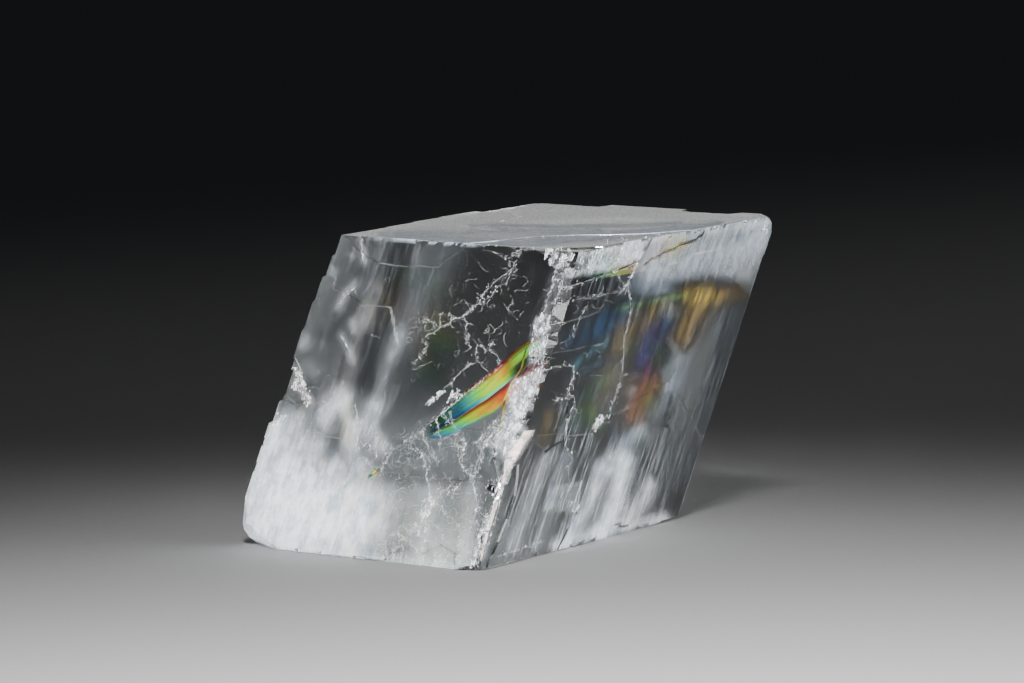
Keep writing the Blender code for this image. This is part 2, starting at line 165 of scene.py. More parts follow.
RIGHT_CRACKS = {
    "box": ([(543, 370), (555, 367), (567, 366), (574, 366), (575, 373), (570, 384), (568, 394), (574, 397),
             (575, 403), (569, 417), (567, 428), (567, 438), (565, 445), (569, 451), (576, 452)],
            0.09, 0.03, 0.05),
    "lens": ([(555, 403), (559, 398), (572, 398)], 0.07, 0.05, 0.04),
    "short": ([(550, 325), (558, 323), (565, 322)], 0.07, 0.03, 0.03),
    "second_step": ([(573, 300), (599, 296), (623, 291), (627, 284), (639, 262)], 0.06, 0.015, 0.03),
    "first_step": ([(566, 287), (590, 280), (612, 273), (632, 266), (640, 258)], 0.08, 0.03, 0.08),
    "cross_1": ([(616, 271), (623, 282), (629, 292), (631, 302)], 0.05, 0.03, 0.03),
    "cross_2": ([(639, 262), (633, 274), (629, 283), (626, 292)], 0.05, 0.03, 0.03),
    "long_line": ([(629, 286), (631, 311), (626, 333), (623, 362), (620, 381), (613, 402), (609, 420)],
                  0.05, 0.015, 0.02),
    "green_scratch": ([(588, 305), (578, 324), (569, 340)], 0.04, 0.02, 0.02),
    "foot_chain": ([(569, 465), (568, 489), (572, 504), (578, 508)], 0.05, 0.06, 0.05),
    "foot_line": ([(500, 556), (520, 549), (545, 541)], 0.05, 0.03, 0.03),
}
FRONT_LINES = {
    "left_rim": ([(559, 266), (555, 272), (553, 287), (546, 302), (541, 316), (535, 322), (536, 329),
                  (532, 334)], 0.12, 0.06, 0.10),
    "right_rim": ([(563, 268), (560, 289), (555, 304), (550, 314), (548, 323), (546, 344), (544, 356),
                   (542, 369), (540, 377), (534, 394), (527, 407)], 0.11, 0.05, 0.10),
    "rung_1": ([(553, 279), (562, 280)], 0.12, 0.08, 0.10),
    "rung_2": ([(555, 286), (561, 287)], 0.10, 0.08, 0.10),
    "rung_3": ([(546, 303), (555, 304)], 0.08, 0.08, 0.10),
    "column_1": ([(541, 323), (539, 338), (536, 350), (532, 362)], 0.14, 0.07, 0.12),
    "column_2": ([(545, 326), (543, 341), (541, 352), (538, 364)], 0.12, 0.07, 0.12),
    "flake_edge": ([(534, 430), (525, 444), (515, 458), (506, 481), (498, 510), (492, 530), (487, 546),
                    (483, 562)], 0.11, 0.02, 0.03),
    "flake_inner": ([(506, 462), (503, 470), (497, 487), (490, 510), (482, 525), (479, 543), (477, 558)],
                    0.12, 0.05, 0.10),
    "strip_1": ([(513, 462), (502, 488), (494, 512), (487, 532)], 0.06, 0.03, 0.06),
    "strip_2": ([(500, 484), (492, 512), (485, 530), (482, 550)], 0.07, 0.05, 0.10),
}

# The combed splinters beside the crushed edge: the pixels that their tops and feet lie along, and their looks
COMB_TOP = ((505, 411), (509, 420), (504, 443))
COMB_FOOT = ((475, 443), (487, 447), (501, 450))
COMB_TEETH = 13
COMB_LOOKS = (0.08, 0.02, 0.02)

# How a crack's line becomes a thread
LONGEST_PIECE = 1.6  # in pixels
GAP_SHARE = 0.15  # of a crack's pieces
THREAD_SIDES = 5
THREAD_SHARE = 0.43  # of the thickness that a crack is given
THREAD_SWELL = (0.45, 1.1)  # its least share of that, and the most that a noise adds
SWELL_WAVES = 0.21  # for each pixel
THREAD_TIP = (0.35, 4.0)  # the share of its thickness at its ends, and how fast it grows from there
THREAD_UNEVEN = (0.6, 1.3)
THREAD_SUNK = 0.45  # of its radius
THREAD_ROOM = 1.5  # of its radius and wander, kept to each side of its middle
THREAD_WANDER = 0.03 * MM
THINNEST_THREAD = 0.008 * MM

# A crack's side twigs, and the flecks beside its pieces
TWIG_LEAN = 0.9
TWIG_REACH = (2.0, 9.0)  # in pixels
TWIG_WANDER = 0.16
TWIG_SHARE = 0.5  # of its crack's thickness
FLECKS_BESIDE = (0, 1, 2, 3)
FLECK_SPREAD = 1.5  # in pixels
FLECK_SIZE = 0.08  # the largest, in millimetres
FLECK_STRETCH = 1.6

# How chips vary: the smallest as a share of the largest, how rare large ones are, their width and length as
# shares of their size, their turn in radians and how deep they sit as a share of their size
CHIP_LEAST = 0.16
CHIP_RARITY = 2.4
CHIP_WIDTH = (0.35, 1.0)
CHIP_LENGTH = (0.6, 1.6)
CHIP_TURN = 0.22
FLECK_SUNK = 0.25
CHIP_SUNK = 0.30
CHIP_ROOM = 0.8  # of a chip's spans, kept to each side of its middle
CHIP_DENT = 0.1 * MM  # the most that a corner moves, where a tree's unevenness is 1
FLECK_UNEVENNESS = 0.18
CHIP_UNEVENNESS = 0.4

# The seeds of what is scattered
LEFT_SEED = 21
RIGHT_SEED = 22
FRONT_SEED = 23
TICK_SEED = 24
WISP_SEED = 31

# How a wisp curls: its step in pixels, its bend and unevenness in radians for each step, its length as a
# share of its reach, its thickness in millimetres, and how many are tried for each square pixel
WISP_STEP = 1.5
WISP_BEND = 0.35
WISP_SHAKE = 0.25
WISP_LENGTH = (0.4, 1.5)
WISP_THICKNESS = (0.03, 0.07)
WISP_SIDES = 4
WISP_DENSITY = 0.05

# Hair-fine wisps: the outline in pixels where they lie, how many, and the longest reach in pixels
WISPS = {
    "around_main": ([(410, 300), (470, 270), (520, 252), (530, 300), (520, 350), (440, 400), (405, 380)],
                    70, 12),
    "under_flaw": ([(400, 430), (470, 430), (500, 450), (480, 500), (400, 490)], 60, 12),
    "foot": ([(380, 490), (485, 490), (480, 562), (376, 556)], 80, 11),
    "web": ([(356, 432), (412, 432), (412, 478), (372, 480)], 40, 12),
    "left": ([(330, 240), (400, 245), (390, 400), (300, 400)], 24, 9),
    "right": ([(556, 280), (640, 280), (610, 460), (540, 460)], 26, 12),
}

# The ragged rim of scattered pixels: its margin, its waves for each pixel and its reach in pixels. Clumps
# thin them: their waves for each pixel, the share kept on average and how much the clumps change it
RIM_MARGIN = 1.5
RIM_WAVES = 0.35
RIM_REACH = 2.6
CLUMP_ACROSS = 0.24
CLUMP_SLANT = 0.08
CLUMP_UP = 0.11
CLUMP_KEPT = 0.55
CLUMP_CONTRAST = 1.5

# Crushed patches: the outline in pixels, chips for each square pixel, the largest chip in millimetres and how
# much longer than wide the chips are, along the front edge
CRUSHED_PATCHES = {
    "top_corner": ([(544, 248), (567, 246), (574, 256), (567, 266), (560, 268), (552, 266), (545, 259)],
                   1.8, 0.22, 1.4),
    "knot": ([(535, 321), (541, 315), (550, 314), (549, 326), (541, 332), (534, 330)], 2.0, 0.19, 1.8),
    "column": ([(534, 331), (548, 326), (546, 345), (543, 362), (530, 366), (530, 348)], 0.55, 0.16, 3.4),
    "heart": ([(513, 381), (529, 376), (536, 368), (543, 366), (540, 378), (533, 390), (528, 404), (524, 420),
               (521, 428), (522, 438), (516, 449), (506, 462), (501, 452), (503, 440), (508, 425), (510, 410),
               (509, 396)], 0.95, 0.15, 3.4),
    "comb": ([(509, 404), (510, 420), (504, 446), (475, 445), (477, 438), (496, 420)], 0.10, 0.14, 2.0),
    "heart_core": ([(514, 396), (524, 392), (522, 410), (519, 426), (512, 444), (500, 448), (505, 434),
                    (510, 420)], 1.2, 0.18, 2.2),
    "chip_1": ([(423, 404), (432, 396), (438, 391), (447, 390), (439, 397), (436, 403), (428, 405)],
               2.6, 0.15, 2.0),
    "chip_2": ([(447, 403), (451, 392), (457, 388), (463, 394), (460, 400), (452, 399)], 3.0, 0.15, 1.6),
    "trunk_blob": ([(422, 500), (428, 496), (436, 498), (434, 508), (428, 516), (421, 528), (412, 529),
                    (411, 525), (420, 518)], 1.8, 0.15, 2.0),
    "foot_blob": ([(414, 530), (425, 524), (428, 531), (425, 540), (418, 536)], 1.1, 0.20, 1.4),
    "edge_foot": ([(480, 520), (492, 512), (486, 545), (480, 566), (470, 566)], 0.5, 0.18, 3.0),
    "nick_high": ([(489, 446), (496, 446), (497, 463), (490, 463)], 1.2, 0.16, 3.0),
    "nick_low": ([(486, 479), (498, 479), (497, 494), (486, 494)], 0.9, 0.16, 2.4),
    "left_tab": ([(295, 366), (301, 372), (305, 385), (311, 398), (309, 407), (300, 398), (291, 387)],
                 1.8, 0.17, 2.0),
    "left_tab_low": ([(272, 418), (282, 410), (287, 416), (276, 427), (267, 430)], 0.8, 0.24, 1.2),
    "white_flake": ([(592, 431), (596, 419), (600, 414), (607, 417), (601, 424), (595, 432)], 4.0, 0.16, 1.4),
    "foot_flake": ([(572, 512), (570, 503), (576, 499), (580, 506), (575, 514)], 1.8, 0.22, 1.2),
    "right_band": ([(566, 256), (600, 248), (640, 242), (636, 258), (609, 266), (568, 274)], 0.30, 0.16, 3.0),
    "right_tip": ([(752, 219), (768, 217), (771, 224), (767, 234), (762, 226)], 0.9, 0.22, 1.2),
    "top_edge_left": ([(346, 236), (400, 239), (470, 243), (540, 247), (540, 250), (470, 246), (400, 242),
                       (346, 239)], 0.16, 0.16, 1.0),
    "top_edge_right": ([(600, 240), (680, 231), (752, 221), (752, 224), (680, 235), (600, 244)],
                       0.30, 0.16, 1.0),
}

# The pale pink flake beside the crushed edge, and a small rainbow glint in the milk, a painted highlight that
# glows in the film's material: their long sides in pixels, and their faces just proud of the skin
FLAKE_LEFT = [(524, 431), (504, 461), (504, 474), (495, 500), (486, 530), (480, 560)]
FLAKE_RIGHT = [(535, 430), (520, 453), (507, 474), (498, 503), (488, 536), (482, 560)]
GLINT_TOP = [(366, 477), (378, 466)]
GLINT_FOOT = [(369, 481), (382, 470)]
FLAKE_HEAD = 0.30  # the share of the flake's length that is nearly solid white
FLAKE_HEAD_STRENGTH = (0.86, 0.30)  # at its head, and what a noise adds to it or takes away
FLAKE_TAIL_STRENGTH = (0.34, 0.70)
FLAKE_RIM = (0.2, 0.40)  # the share of its width that shows more along the tail, and by how much
GLINT_STRENGTH = 0.85
GLINT_FADE = 0.3  # the share of its length and width over which it fades
FLAKE_CELLS = (40, 5)  # along and across
GLINT_CELLS = (14, 5)
PLATE_LIFT = 0.012 * MM
PLATE_THICKNESS = 0.03 * MM

# The rainbow flaw: its upper and lower edge in pixels, and how deep each lies under the skin in millimetres
FILM_TOP = [(419, 430), (447, 407), (464, 392), (489, 373), (510, 354), (528, 341), (540, 335)]
FILM_FOOT = [(425, 441), (452, 436), (473, 424), (494, 413), (508, 403), (521, 391), (540, 366)]
FILM_TOP_DEPTH = 0.5
FILM_FOOT_DEPTH = 1.6
FILM_COLUMNS = 96
FILM_ROWS = 24
FILM_TIP_FADE = 0.10  # the share of its length over which the left tip fades in
FILM_FOOT_FADE = 0.10  # the share of its height over which the lower edge fades in
FILM_END_FADE = 0.02  # the share of its length over which the right end fades out
FILM_RAGGED = 1.2  # how far its upper edge strays, in pixels
FILM_RAGGED_WAVES = 9.0  # along its length
FILM_STEP = 0.44  # where across the flaw a second, thinner film begins
FILM_STEP_BLUR = 0.012

# The film's colours: the wavelengths of red, green and blue in nanometres, how narrow their bands are, and
# the path that the fibres and the broad waves add or take away, in nanometres
FILM_WAVELENGTHS = (630.0, 540.0, 455.0)
FILM_BAND_POWER = 5.5
FILM_FIBRE_PATH = 210.0
FILM_WAVE_PATH = 110.0

# Along the flaw from its left tip: each film's path as a share of the scale in nanometres, and its painted
# glow's brightness
FILM_GAP_SCALE = 1200.0
FILM_UPPER_GAP = ((0.0, 0.640), (0.30, 0.622), (0.42, 0.665), (0.50, 0.712), (0.62, 0.720), (0.70, 0.740),
                  (0.78, 0.705), (0.86, 0.690), (1.0, 0.685))
FILM_UPPER_PAINTED_GLOW = ((0.0, 0.03), (0.16, 0.06), (0.32, 0.18), (0.44, 0.62), (0.54, 1.0), (0.66, 0.95),
                    (0.74, 0.34), (0.82, 0.55), (1.0, 0.60))
FILM_LOWER_GAP = ((0.0, 0.600), (0.26, 0.655), (0.42, 0.735), (0.58, 0.775), (0.75, 0.800), (1.0, 0.820))
FILM_LOWER_PAINTED_GLOW = ((0.0, 0.08), (0.16, 0.45), (0.36, 0.70), (0.60, 0.75), (0.74, 0.70), (0.82, 0.15),
                    (1.0, 0.10))
FILM_TOP_DIM = 0.82  # how much each film's colour and painted glow darken towards its upper edge

# Colours of what shows in the skin, of the white crushed calcite, the flake and the stage
MILK_WHITE = (0.86, 0.89, 0.92)
BLUE_GREY = (0.55, 0.64, 0.76)
WARM_GREY = (0.84, 0.78, 0.72)
PALE_PINK = (0.90, 0.70, 0.66)
YELLOW = (0.52, 0.37, 0.06)
GOLD = (0.38, 0.24, 0.05)
BROWN_GOLD = (0.17, 0.12, 0.035)
DEEP_BLUE = (0.012, 0.052, 0.115)
VIOLET = (0.034, 0.026, 0.140)
MAGENTA = (0.140, 0.020, 0.090)
RUST = (0.260, 0.095, 0.040)
CYAN = (0.060, 0.160, 0.200)
GREEN = (0.100, 0.190, 0.050)
GREENISH = (0.62, 0.68, 0.60)
SHADED_MILK = (0.58, 0.65, 0.73)
CRUSHED_GREY = (0.74, 0.78, 0.82)
CRUSHED_WHITE = (0.97, 0.975, 0.98)
FLAKE_PINK = (0.80, 0.60, 0.54)
FLAKE_WHITE = (0.90, 0.86, 0.84)
FLOOR_DARK = (0.56, 0.56, 0.555)
FLOOR_LIGHT = (0.61, 0.61, 0.605)
ROOM_GREY = (0.013, 0.0135, 0.015)

# Soft strokes in the skin: the face, the channel, the pixels that each passes through, its half width in
# pixels, its strength and its colour
SOFT_STROKES = [
    ("left", "milk", [(386, 238), (380, 262), (374, 290)], 9, 0.10, MILK_WHITE),
    ("left", "milk", [(374, 290), (367, 312), (358, 334), (350, 362), (342, 392)], 9, 0.15, WARM_GREY),
    ("left", "milk", [(367, 308), (364, 320)], 9, 0.15, MILK_WHITE),
    ("left", "milk", [(421, 250), (416, 276), (407, 304), (400, 330)], 8, 0.08, MILK_WHITE),
    ("left", "milk", [(400, 330), (394, 350), (386, 366), (379, 390), (374, 408)], 7, 0.18, MILK_WHITE),
    ("left", "milk", [(398, 336), (392, 352)], 10, 0.17, MILK_WHITE),
    ("left", "milk", [(361, 236), (363, 250), (364, 264)], 4, 0.29, MILK_WHITE),
    ("left", "milk", [(352, 256), (352, 258)], 4, 0.28, MILK_WHITE),
    ("left", "milk", [(333, 270), (332, 274)], 4, 0.29, MILK_WHITE),
    ("left", "milk", [(356, 285), (345, 294), (338, 306)], 5, 0.32, MILK_WHITE),
    ("left", "milk", [(352, 322), (354, 330)], 5, 0.24, MILK_WHITE),
    ("left", "milk", [(340, 335), (347, 347), (352, 362)], 4, 0.24, MILK_WHITE),
    ("left", "milk", [(305, 338), (302, 346)], 6, 0.28, MILK_WHITE),
    ("left", "milk", [(310, 366), (313, 372)], 8, 0.18, MILK_WHITE),
    ("left", "milk", [(324, 420), (330, 408), (342, 398)], 12, 0.60, MILK_WHITE),
    ("left", "milk", [(344, 405), (350, 424), (346, 440)], 8, 0.40, WARM_GREY),
    ("left", "milk", [(374, 408), (368, 422), (374, 436), (380, 446)], 11, 0.50, MILK_WHITE),
    ("left", "milk", [(357, 424), (356, 448), (360, 466)], 9, 0.44, MILK_WHITE),
    ("left", "milk", [(297, 372), (300, 390), (312, 404)], 5, 0.34, PALE_PINK),
    ("left", "milk", [(272, 440), (262, 470), (252, 505)], 14, 0.50, MILK_WHITE),
    ("left", "milk", [(268, 446), (288, 426), (316, 440), (334, 462)], 14, 0.34, MILK_WHITE),
    ("left", "milk", [(276, 428), (296, 414), (318, 426)], 10, 0.30, MILK_WHITE),
    ("left", "milk", [(311, 530), (313, 532)], 9, 0.60, MILK_WHITE),
    ("left", "milk", [(362, 533), (363, 536)], 5, 0.50, MILK_WHITE),
    ("left", "milk", [(349, 497), (350, 504)], 6, 0.50, PALE_PINK),
    ("left", "milk", [(368, 478), (373, 474)], 3, 0.50, YELLOW),
    ("left", "milk", [(372, 476), (379, 469)], 3, 0.55, CYAN),
    ("left", "milk", [(250, 548), (300, 553), (380, 560), (470, 568)], 6, 0.40, MILK_WHITE),
    ("left", "milk", [(430, 490), (425, 515), (424, 545)], 14, 0.26, MILK_WHITE),
    ("left", "milk", [(475, 490), (472, 520), (466, 556)], 9, 0.26, MILK_WHITE),
    ("left", "crush", [(424, 534), (416, 552)], 9, 0.25, MILK_WHITE),
    ("right", "milk", [(600, 244), (660, 236), (716, 228), (768, 221)], 7, 0.46, MILK_WHITE),
    ("right", "milk", [(690, 262), (730, 252), (764, 236)], 14, 0.32, BLUE_GREY),
    ("right", "milk", [(655, 270), (640, 285), (662, 290)], 14, 0.30, BLUE_GREY),
    ("right", "milk", [(745, 300), (738, 330)], 16, 0.08, BLUE_GREY),
    ("right", "milk", [(566, 545), (586, 508), (603, 468)], 8, 0.70, MILK_WHITE),
    ("right", "milk", [(600, 534), (616, 502), (624, 462)], 10, 0.85, MILK_WHITE),
    ("right", "milk", [(624, 524), (642, 500), (650, 484)], 9, 0.62, WARM_GREY),
    ("right", "milk", [(556, 545), (612, 530), (664, 519)], 7, 0.60, MILK_WHITE),
    ("right", "milk", [(610, 470), (622, 446), (640, 428)], 9, 0.44, BLUE_GREY),
    ("right", "milk", [(640, 428), (656, 408), (672, 384)], 11, 0.22, BLUE_GREY),
    ("right", "milk", [(672, 384), (686, 350)], 11, 0.16, BLUE_GREY),
    ("right", "milk", [(512, 545), (530, 500), (548, 455)], 8, 0.40, MILK_WHITE),
    ("right", "milk", [(536, 545), (552, 500), (566, 455)], 7, 0.30, BLUE_GREY),
    ("right", "stain", [(620, 309), (642, 303), (668, 299), (690, 296)], 3.2, 0.62, GREEN),
    ("right", "stain", [(690, 297), (712, 295), (738, 294)], 7, 0.38, GOLD),
    ("right", "stain", [(694, 297), (708, 298)], 9, 0.48, YELLOW),
    ("right", "stain", [(694, 312), (688, 326), (682, 336)], 10, 0.40, GOLD),
    ("right", "stain", [(652, 316), (634, 328), (620, 344)], 11, 0.62, BROWN_GOLD),
    ("right", "stain", [(640, 314), (664, 308)], 7, 0.60, BROWN_GOLD),
    ("right", "stain", [(664, 314), (668, 324)], 7, 0.75, DEEP_BLUE),
    ("right", "stain", [(600, 330), (612, 318), (634, 310)], 10, 0.50, DEEP_BLUE),
    ("right", "stain", [(572, 342), (586, 332), (600, 326)], 10, 0.42, DEEP_BLUE),
    ("right", "stain", [(656, 330), (651, 345), (647, 360)], 11, 0.66, VIOLET),
    ("right", "stain", [(650, 368), (648, 378)], 6, 0.65, MAGENTA),
    ("right", "stain", [(647, 386), (640, 400), (636, 416)], 11, 0.52, RUST),
    ("right", "stain", [(574, 366), (592, 352), (610, 342)], 3.5, 0.46, CYAN),
    ("right", "stain", [(584, 372), (600, 362)], 3, 0.36, CYAN),
    ("right", "milk", [(670, 340), (676, 356), (664, 372)], 6, 0.28, GREENISH),
    ("right", "stain", [(549, 415), (543, 440)], 6, 0.26, BROWN_GOLD),
    ("right", "stain", [(588, 408), (600, 426)], 6, 0.30, GREEN),
    # The strokes on the top face are partly haze and partly painted reflection: they stand in for the light
    # and streaks that the top face mirrors
    ("top", "milk", [(400, 240), (520, 244), (600, 237), (720, 225)], 5, 0.80, BLUE_GREY),
    ("top", "milk", [(380, 236), (470, 232), (600, 230)], 5, 0.50, BLUE_GREY),
    ("top", "milk", [(470, 226), (580, 225), (680, 223)], 2, 0.60, BLUE_GREY),
]

# Patches in the skin: the face, the channel, the outline in pixels, the soft rim in pixels, the strength and
# the colour
SOFT_PATCHES = [
    ("left", "milk", [(258, 452), (284, 436), (312, 452), (338, 470), (368, 482), (384, 498), (384, 528),
                      (352, 562), (255, 558), (232, 530), (240, 490)], 34, 0.90, MILK_WHITE),
    ("left", "milk", [(338, 486), (474, 484), (470, 572), (330, 566)], 6, 0.24, GREENISH),
    ("left", "milk", [(326, 232), (472, 240), (452, 276), (418, 312), (398, 352), (376, 404), (296, 404),
                      (286, 372)], 12, 0.03, BLUE_GREY),
    ("left", "milk", [(384, 236), (466, 240), (458, 262), (400, 268)], 10, 0.04, MILK_WHITE),
    ("left", "dark", [(308, 418), (324, 420), (324, 436), (310, 438)], 9, 0.50, MILK_WHITE),
    ("left", "dark", [(331, 434), (342, 432), (338, 452), (328, 464), (321, 456)], 6, 0.60, MILK_WHITE),
    ("right", "milk", [(600, 240), (772, 216), (770, 246), (752, 284), (700, 278), (648, 284), (632, 268)],
     9, 0.40, MILK_WHITE),
    ("right", "dark", [(706, 276), (734, 276), (736, 292), (712, 294)], 6, 0.60, MILK_WHITE),
    ("right", "crush", [(546, 246), (600, 241), (650, 236), (640, 260), (609, 270), (566, 277), (558, 264)],
     2, 0.90, MILK_WHITE),
    ("right", "milk", [(556, 250), (600, 243), (646, 238), (638, 262), (609, 270), (566, 277)], 3, 0.40,
     MILK_WHITE),
    ("right", "dark", [(572, 258), (590, 256), (588, 272), (571, 274)], 3, 0.70, GREENISH),
    ("right", "fibre", [(536, 428), (566, 400), (604, 420), (594, 470), (566, 548), (488, 566), (482, 560),
                        (500, 510)], 8, 0.42, MILK_WHITE),
    ("right", "fibre", [(600, 250), (770, 222), (690, 480), (560, 546), (572, 300)], 10, 0.20, BLUE_GREY),
    ("right", "fibre", [(590, 446), (662, 428), (672, 516), (560, 546)], 8, 0.26, MILK_WHITE),
    ("right", "milk", [(553, 486), (583, 481), (576, 499), (579, 504), (571, 514), (543, 509)], 1.5, 0.34,
     GREENISH),
    ("left", "fibre", [(300, 240), (452, 244), (400, 400), (380, 480), (460, 490), (460, 560), (240, 556)],
     12, 0.07, MILK_WHITE),
    ("front", "crush", [(512, 380), (529, 375), (543, 366), (537, 387), (528, 407), (522, 430), (520, 446),
                        (506, 462), (501, 452), (503, 438), (509, 420), (508, 398)], 3, 0.50, MILK_WHITE),
    ("left", "milk", [(508, 408), (508, 440), (500, 448), (476, 445), (484, 432)], 4, 0.16, MILK_WHITE),
    ("front", "milk", [(510, 386), (529, 378), (534, 392), (524, 420), (528, 432), (506, 460), (490, 446),
                       (506, 420)], 4, 0.36, MILK_WHITE),
    ("front", "crush", [(534, 318), (549, 314), (546, 345), (543, 362), (530, 366), (530, 340)], 2, 0.26,
     MILK_WHITE),
    ("front", "crush", [(544, 247), (568, 246), (572, 258), (552, 314), (540, 318), (548, 290), (554, 268)],
     2, 0.08, MILK_WHITE),
    ("front", "milk", [(523, 431), (534, 430), (521, 453), (506, 474), (503, 460)], 1.5, 0.55, PALE_PINK),
    # The fibres on the top face are partly haze and partly painted reflection, standing in for the streaks
    # that the top face mirrors
    ("top", "fibre", [(340, 236), (540, 198), (770, 216), (560, 250)], 3, 0.50, MILK_WHITE),
]

# Cloudy places on the faces that the photograph doesn't show: the middle and reach in millimetres along the
# three edges, and the strength
HIDDEN_CLOUDS = [
    ((2.0, 3.0, 6.0), (9.0, 9.0, 9.0), 0.85),
    ((0.0, 12.0, 3.0), (8.0, 9.0, 5.0), 0.62),
    ((9.0, 2.0, 1.0), (9.0, 9.0, 5.0), 0.66),
    ((30.0, 34.0, 27.0), (9.0, 9.0, 6.0), 0.34),
    ((26.0, 38.0, 5.0), (8.0, 8.0, 6.0), 0.56),
    ((14.0, 38.9, 3.0), (6.0, 6.0, 4.0), 0.50),
    ((8.0, 38.9, 20.0), (3.0, 6.0, 12.0), 0.30),
    ((0.0, 26.0, 22.0), (6.0, 3.0, 12.0), 0.30),
    ((0.0, 34.0, 8.0), (6.0, 4.0, 9.0), 0.26),
    ((20.0, 20.0, 0.0), (16.0, 5.0, 3.0), 0.30),
]
HIDDEN_FIBRE = 0.14

# How the painted places stray: waves for each metre, their reach in pixels, and the seed of their offsets
WARP_WAVES = 260.0
WARP_REACH = 2.6
WARP_SEED = 5

# How a stain's colour gives way to the milk's
FAINT = 1e-4
MILK_COVER = 0.5
MILK_CONTRAST = 1.6
STAIN_FLOOR = 0.01

# Lights: the place and the point aimed at in metres, the width and the height in metres, the power in watts
# and the spread in degrees. A light with no height is square.
RAKING_LIGHTS = {
    "front_left": ((-0.25, -0.68, 0.055), (0.0, 0.0, 0.02), 0.26, 0.06, 5.2, 110.0),
    "front_right": ((0.48, -0.49, 0.055), (0.0, 0.0, 0.02), 0.20, 0.06, 1.6, 110.0),
    "behind_low": ((0.16, 1.5, 0.30), (0.0, 0.0, 0.03), 1.8, 0.56, 2.0, 180.0),
}
STAGE_LIGHTS = {
    "pool": ((-0.06, -0.42, 0.46), (-0.02, -0.23, 0.0), 0.14, None, 0.90, 40.0),
    "behind_high": ((-0.075, 0.38, 0.335), (0.0, 0.0, 0.015), 0.26, 0.16, 0.005, 70.0),
    "rim": ((0.50, 0.42, 0.28), (0.0, 0.0, 0.015), 0.30, 0.30, 0.03, 50.0),
}
FLOOR_REACH = 12.0
NEAREST_SEEN = 0.01
FARTHEST_SEEN = 30.0


def settings():
    return bpy.context.scene.calcite


# How the photograph looks at the block


def camera_axes():
    """The camera's place, right, up and forward directions."""
    ca, sa = math.cos(CAMERA_AZIMUTH), math.sin(CAMERA_AZIMUTH)
    cp, sp = math.cos(CAMERA_PITCH), math.sin(CAMERA_PITCH)
    cr, sr = math.cos(CAMERA_ROLL), math.sin(CAMERA_ROLL)
    level_right, level_forward, straight_up = Vector((ca, sa, 0)), Vector((-sa, ca, 0)), Vector((0, 0, 1))
    forward = level_forward * cp - straight_up * sp
    pitched_up = level_forward * sp + straight_up * cp
    aim = level_right * AIM_RIGHT + level_forward * AIM_BACK + straight_up * AIM_UP
    place = aim - forward * CAMERA_DISTANCE
    return place, level_right * cr - pitched_up * sr, level_right * sr + pitched_up * cr, forward


EYE, EYE_RIGHT, EYE_UP, EYE_FORWARD = camera_axes()


def photo_ray(px, py):
    """The direction in which the camera sees that pixel."""
    across = (px - PHOTO_WIDTH / 2) / LENS_PIXELS
    above = (PHOTO_HEIGHT / 2 - py) / LENS_PIXELS
    return (EYE_FORWARD + EYE_RIGHT * across + EYE_UP * above).normalized()


def seen_at(places):
    """The pixels across and down where the camera sees places, given as rows of an array."""
    offset = places - np.array(EYE)
    depth = offset @ np.array(EYE_FORWARD)
    across = PHOTO_WIDTH / 2 + LENS_PIXELS * (offset @ np.array(EYE_RIGHT)) / depth
    down = PHOTO_HEIGHT / 2 - LENS_PIXELS * (offset @ np.array(EYE_UP)) / depth
    return across, down


def skin_of(node):
    """The node's surface, ready for rays."""
    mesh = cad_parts[node].data
    return BVHTree.FromPolygons([v.co.copy() for v in mesh.vertices], [p.vertices[:] for p in mesh.polygons])


SKIN = skin_of(NODE)


def on_skin(px, py):
    """Where that pixel's ray meets the block, and the surface's normal there. A ray that misses takes the
    nearest place on the block."""
    direction = photo_ray(px, py)
    place, normal, _, _ = SKIN.ray_cast(EYE, direction)
    if place is None:
        near = EYE + direction * CAMERA_DISTANCE
        place, normal, _, _ = SKIN.find_nearest(near)
    return place, normal


def refracted(direction, normal, index):
    """The direction in which a ray runs on inside the crystal."""
    cosine = -direction.dot(normal)
    ratio = 1 / index
    inner = math.sqrt(1 - ratio * ratio * (1 - cosine * cosine))
    return (direction * ratio + normal * (ratio * cosine - inner)).normalized()


def under_left_face(px, py, depth):
    """The place at that depth under the plain left face which shows at that pixel."""
    direction = photo_ray(px, py)
    normal = FACE_NORMALS["left"]
    reach = (LEFT_CORNER * MM - EYE).dot(normal) / direction.dot(normal)
    inward = refracted(direction, normal, CALCITE_IOR)
    return EYE + direction * reach + inward * (depth / -inward.dot(normal))


# Meshes and node trees


def lit_pieces():
    """The pieces that the raking lights reach: these lights are shaded off the floor."""
    name = "lit_by_raking_lights"
    return bpy.data.collections.get(name) or bpy.data.collections.new(name)


def finished(name, mesh, material, body=BODY):
    """Puts a finished mesh in the scene as a piece of the object."""
    piece = bpy.data.objects.new(name, mesh)
    bpy.context.scene.collection.objects.link(piece)
    mesh.name = name
    mesh.materials.clear()
    mesh.materials.append(material)
    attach(piece, body)
    lit_pieces().objects.link(piece)
    return piece


def plain_mesh_from(source, name):
    """The evaluated mesh of an object with a Geometry Nodes modifier, and the object taken away."""
    depsgraph = bpy.context.evaluated_depsgraph_get()
    depsgraph.update()
    mesh = bpy.data.meshes.new_from_object(source.evaluated_get(depsgraph), depsgraph=depsgraph)
    source.modifiers.clear()
    bpy.data.objects.remove(source)
    mesh.name = name
    return mesh


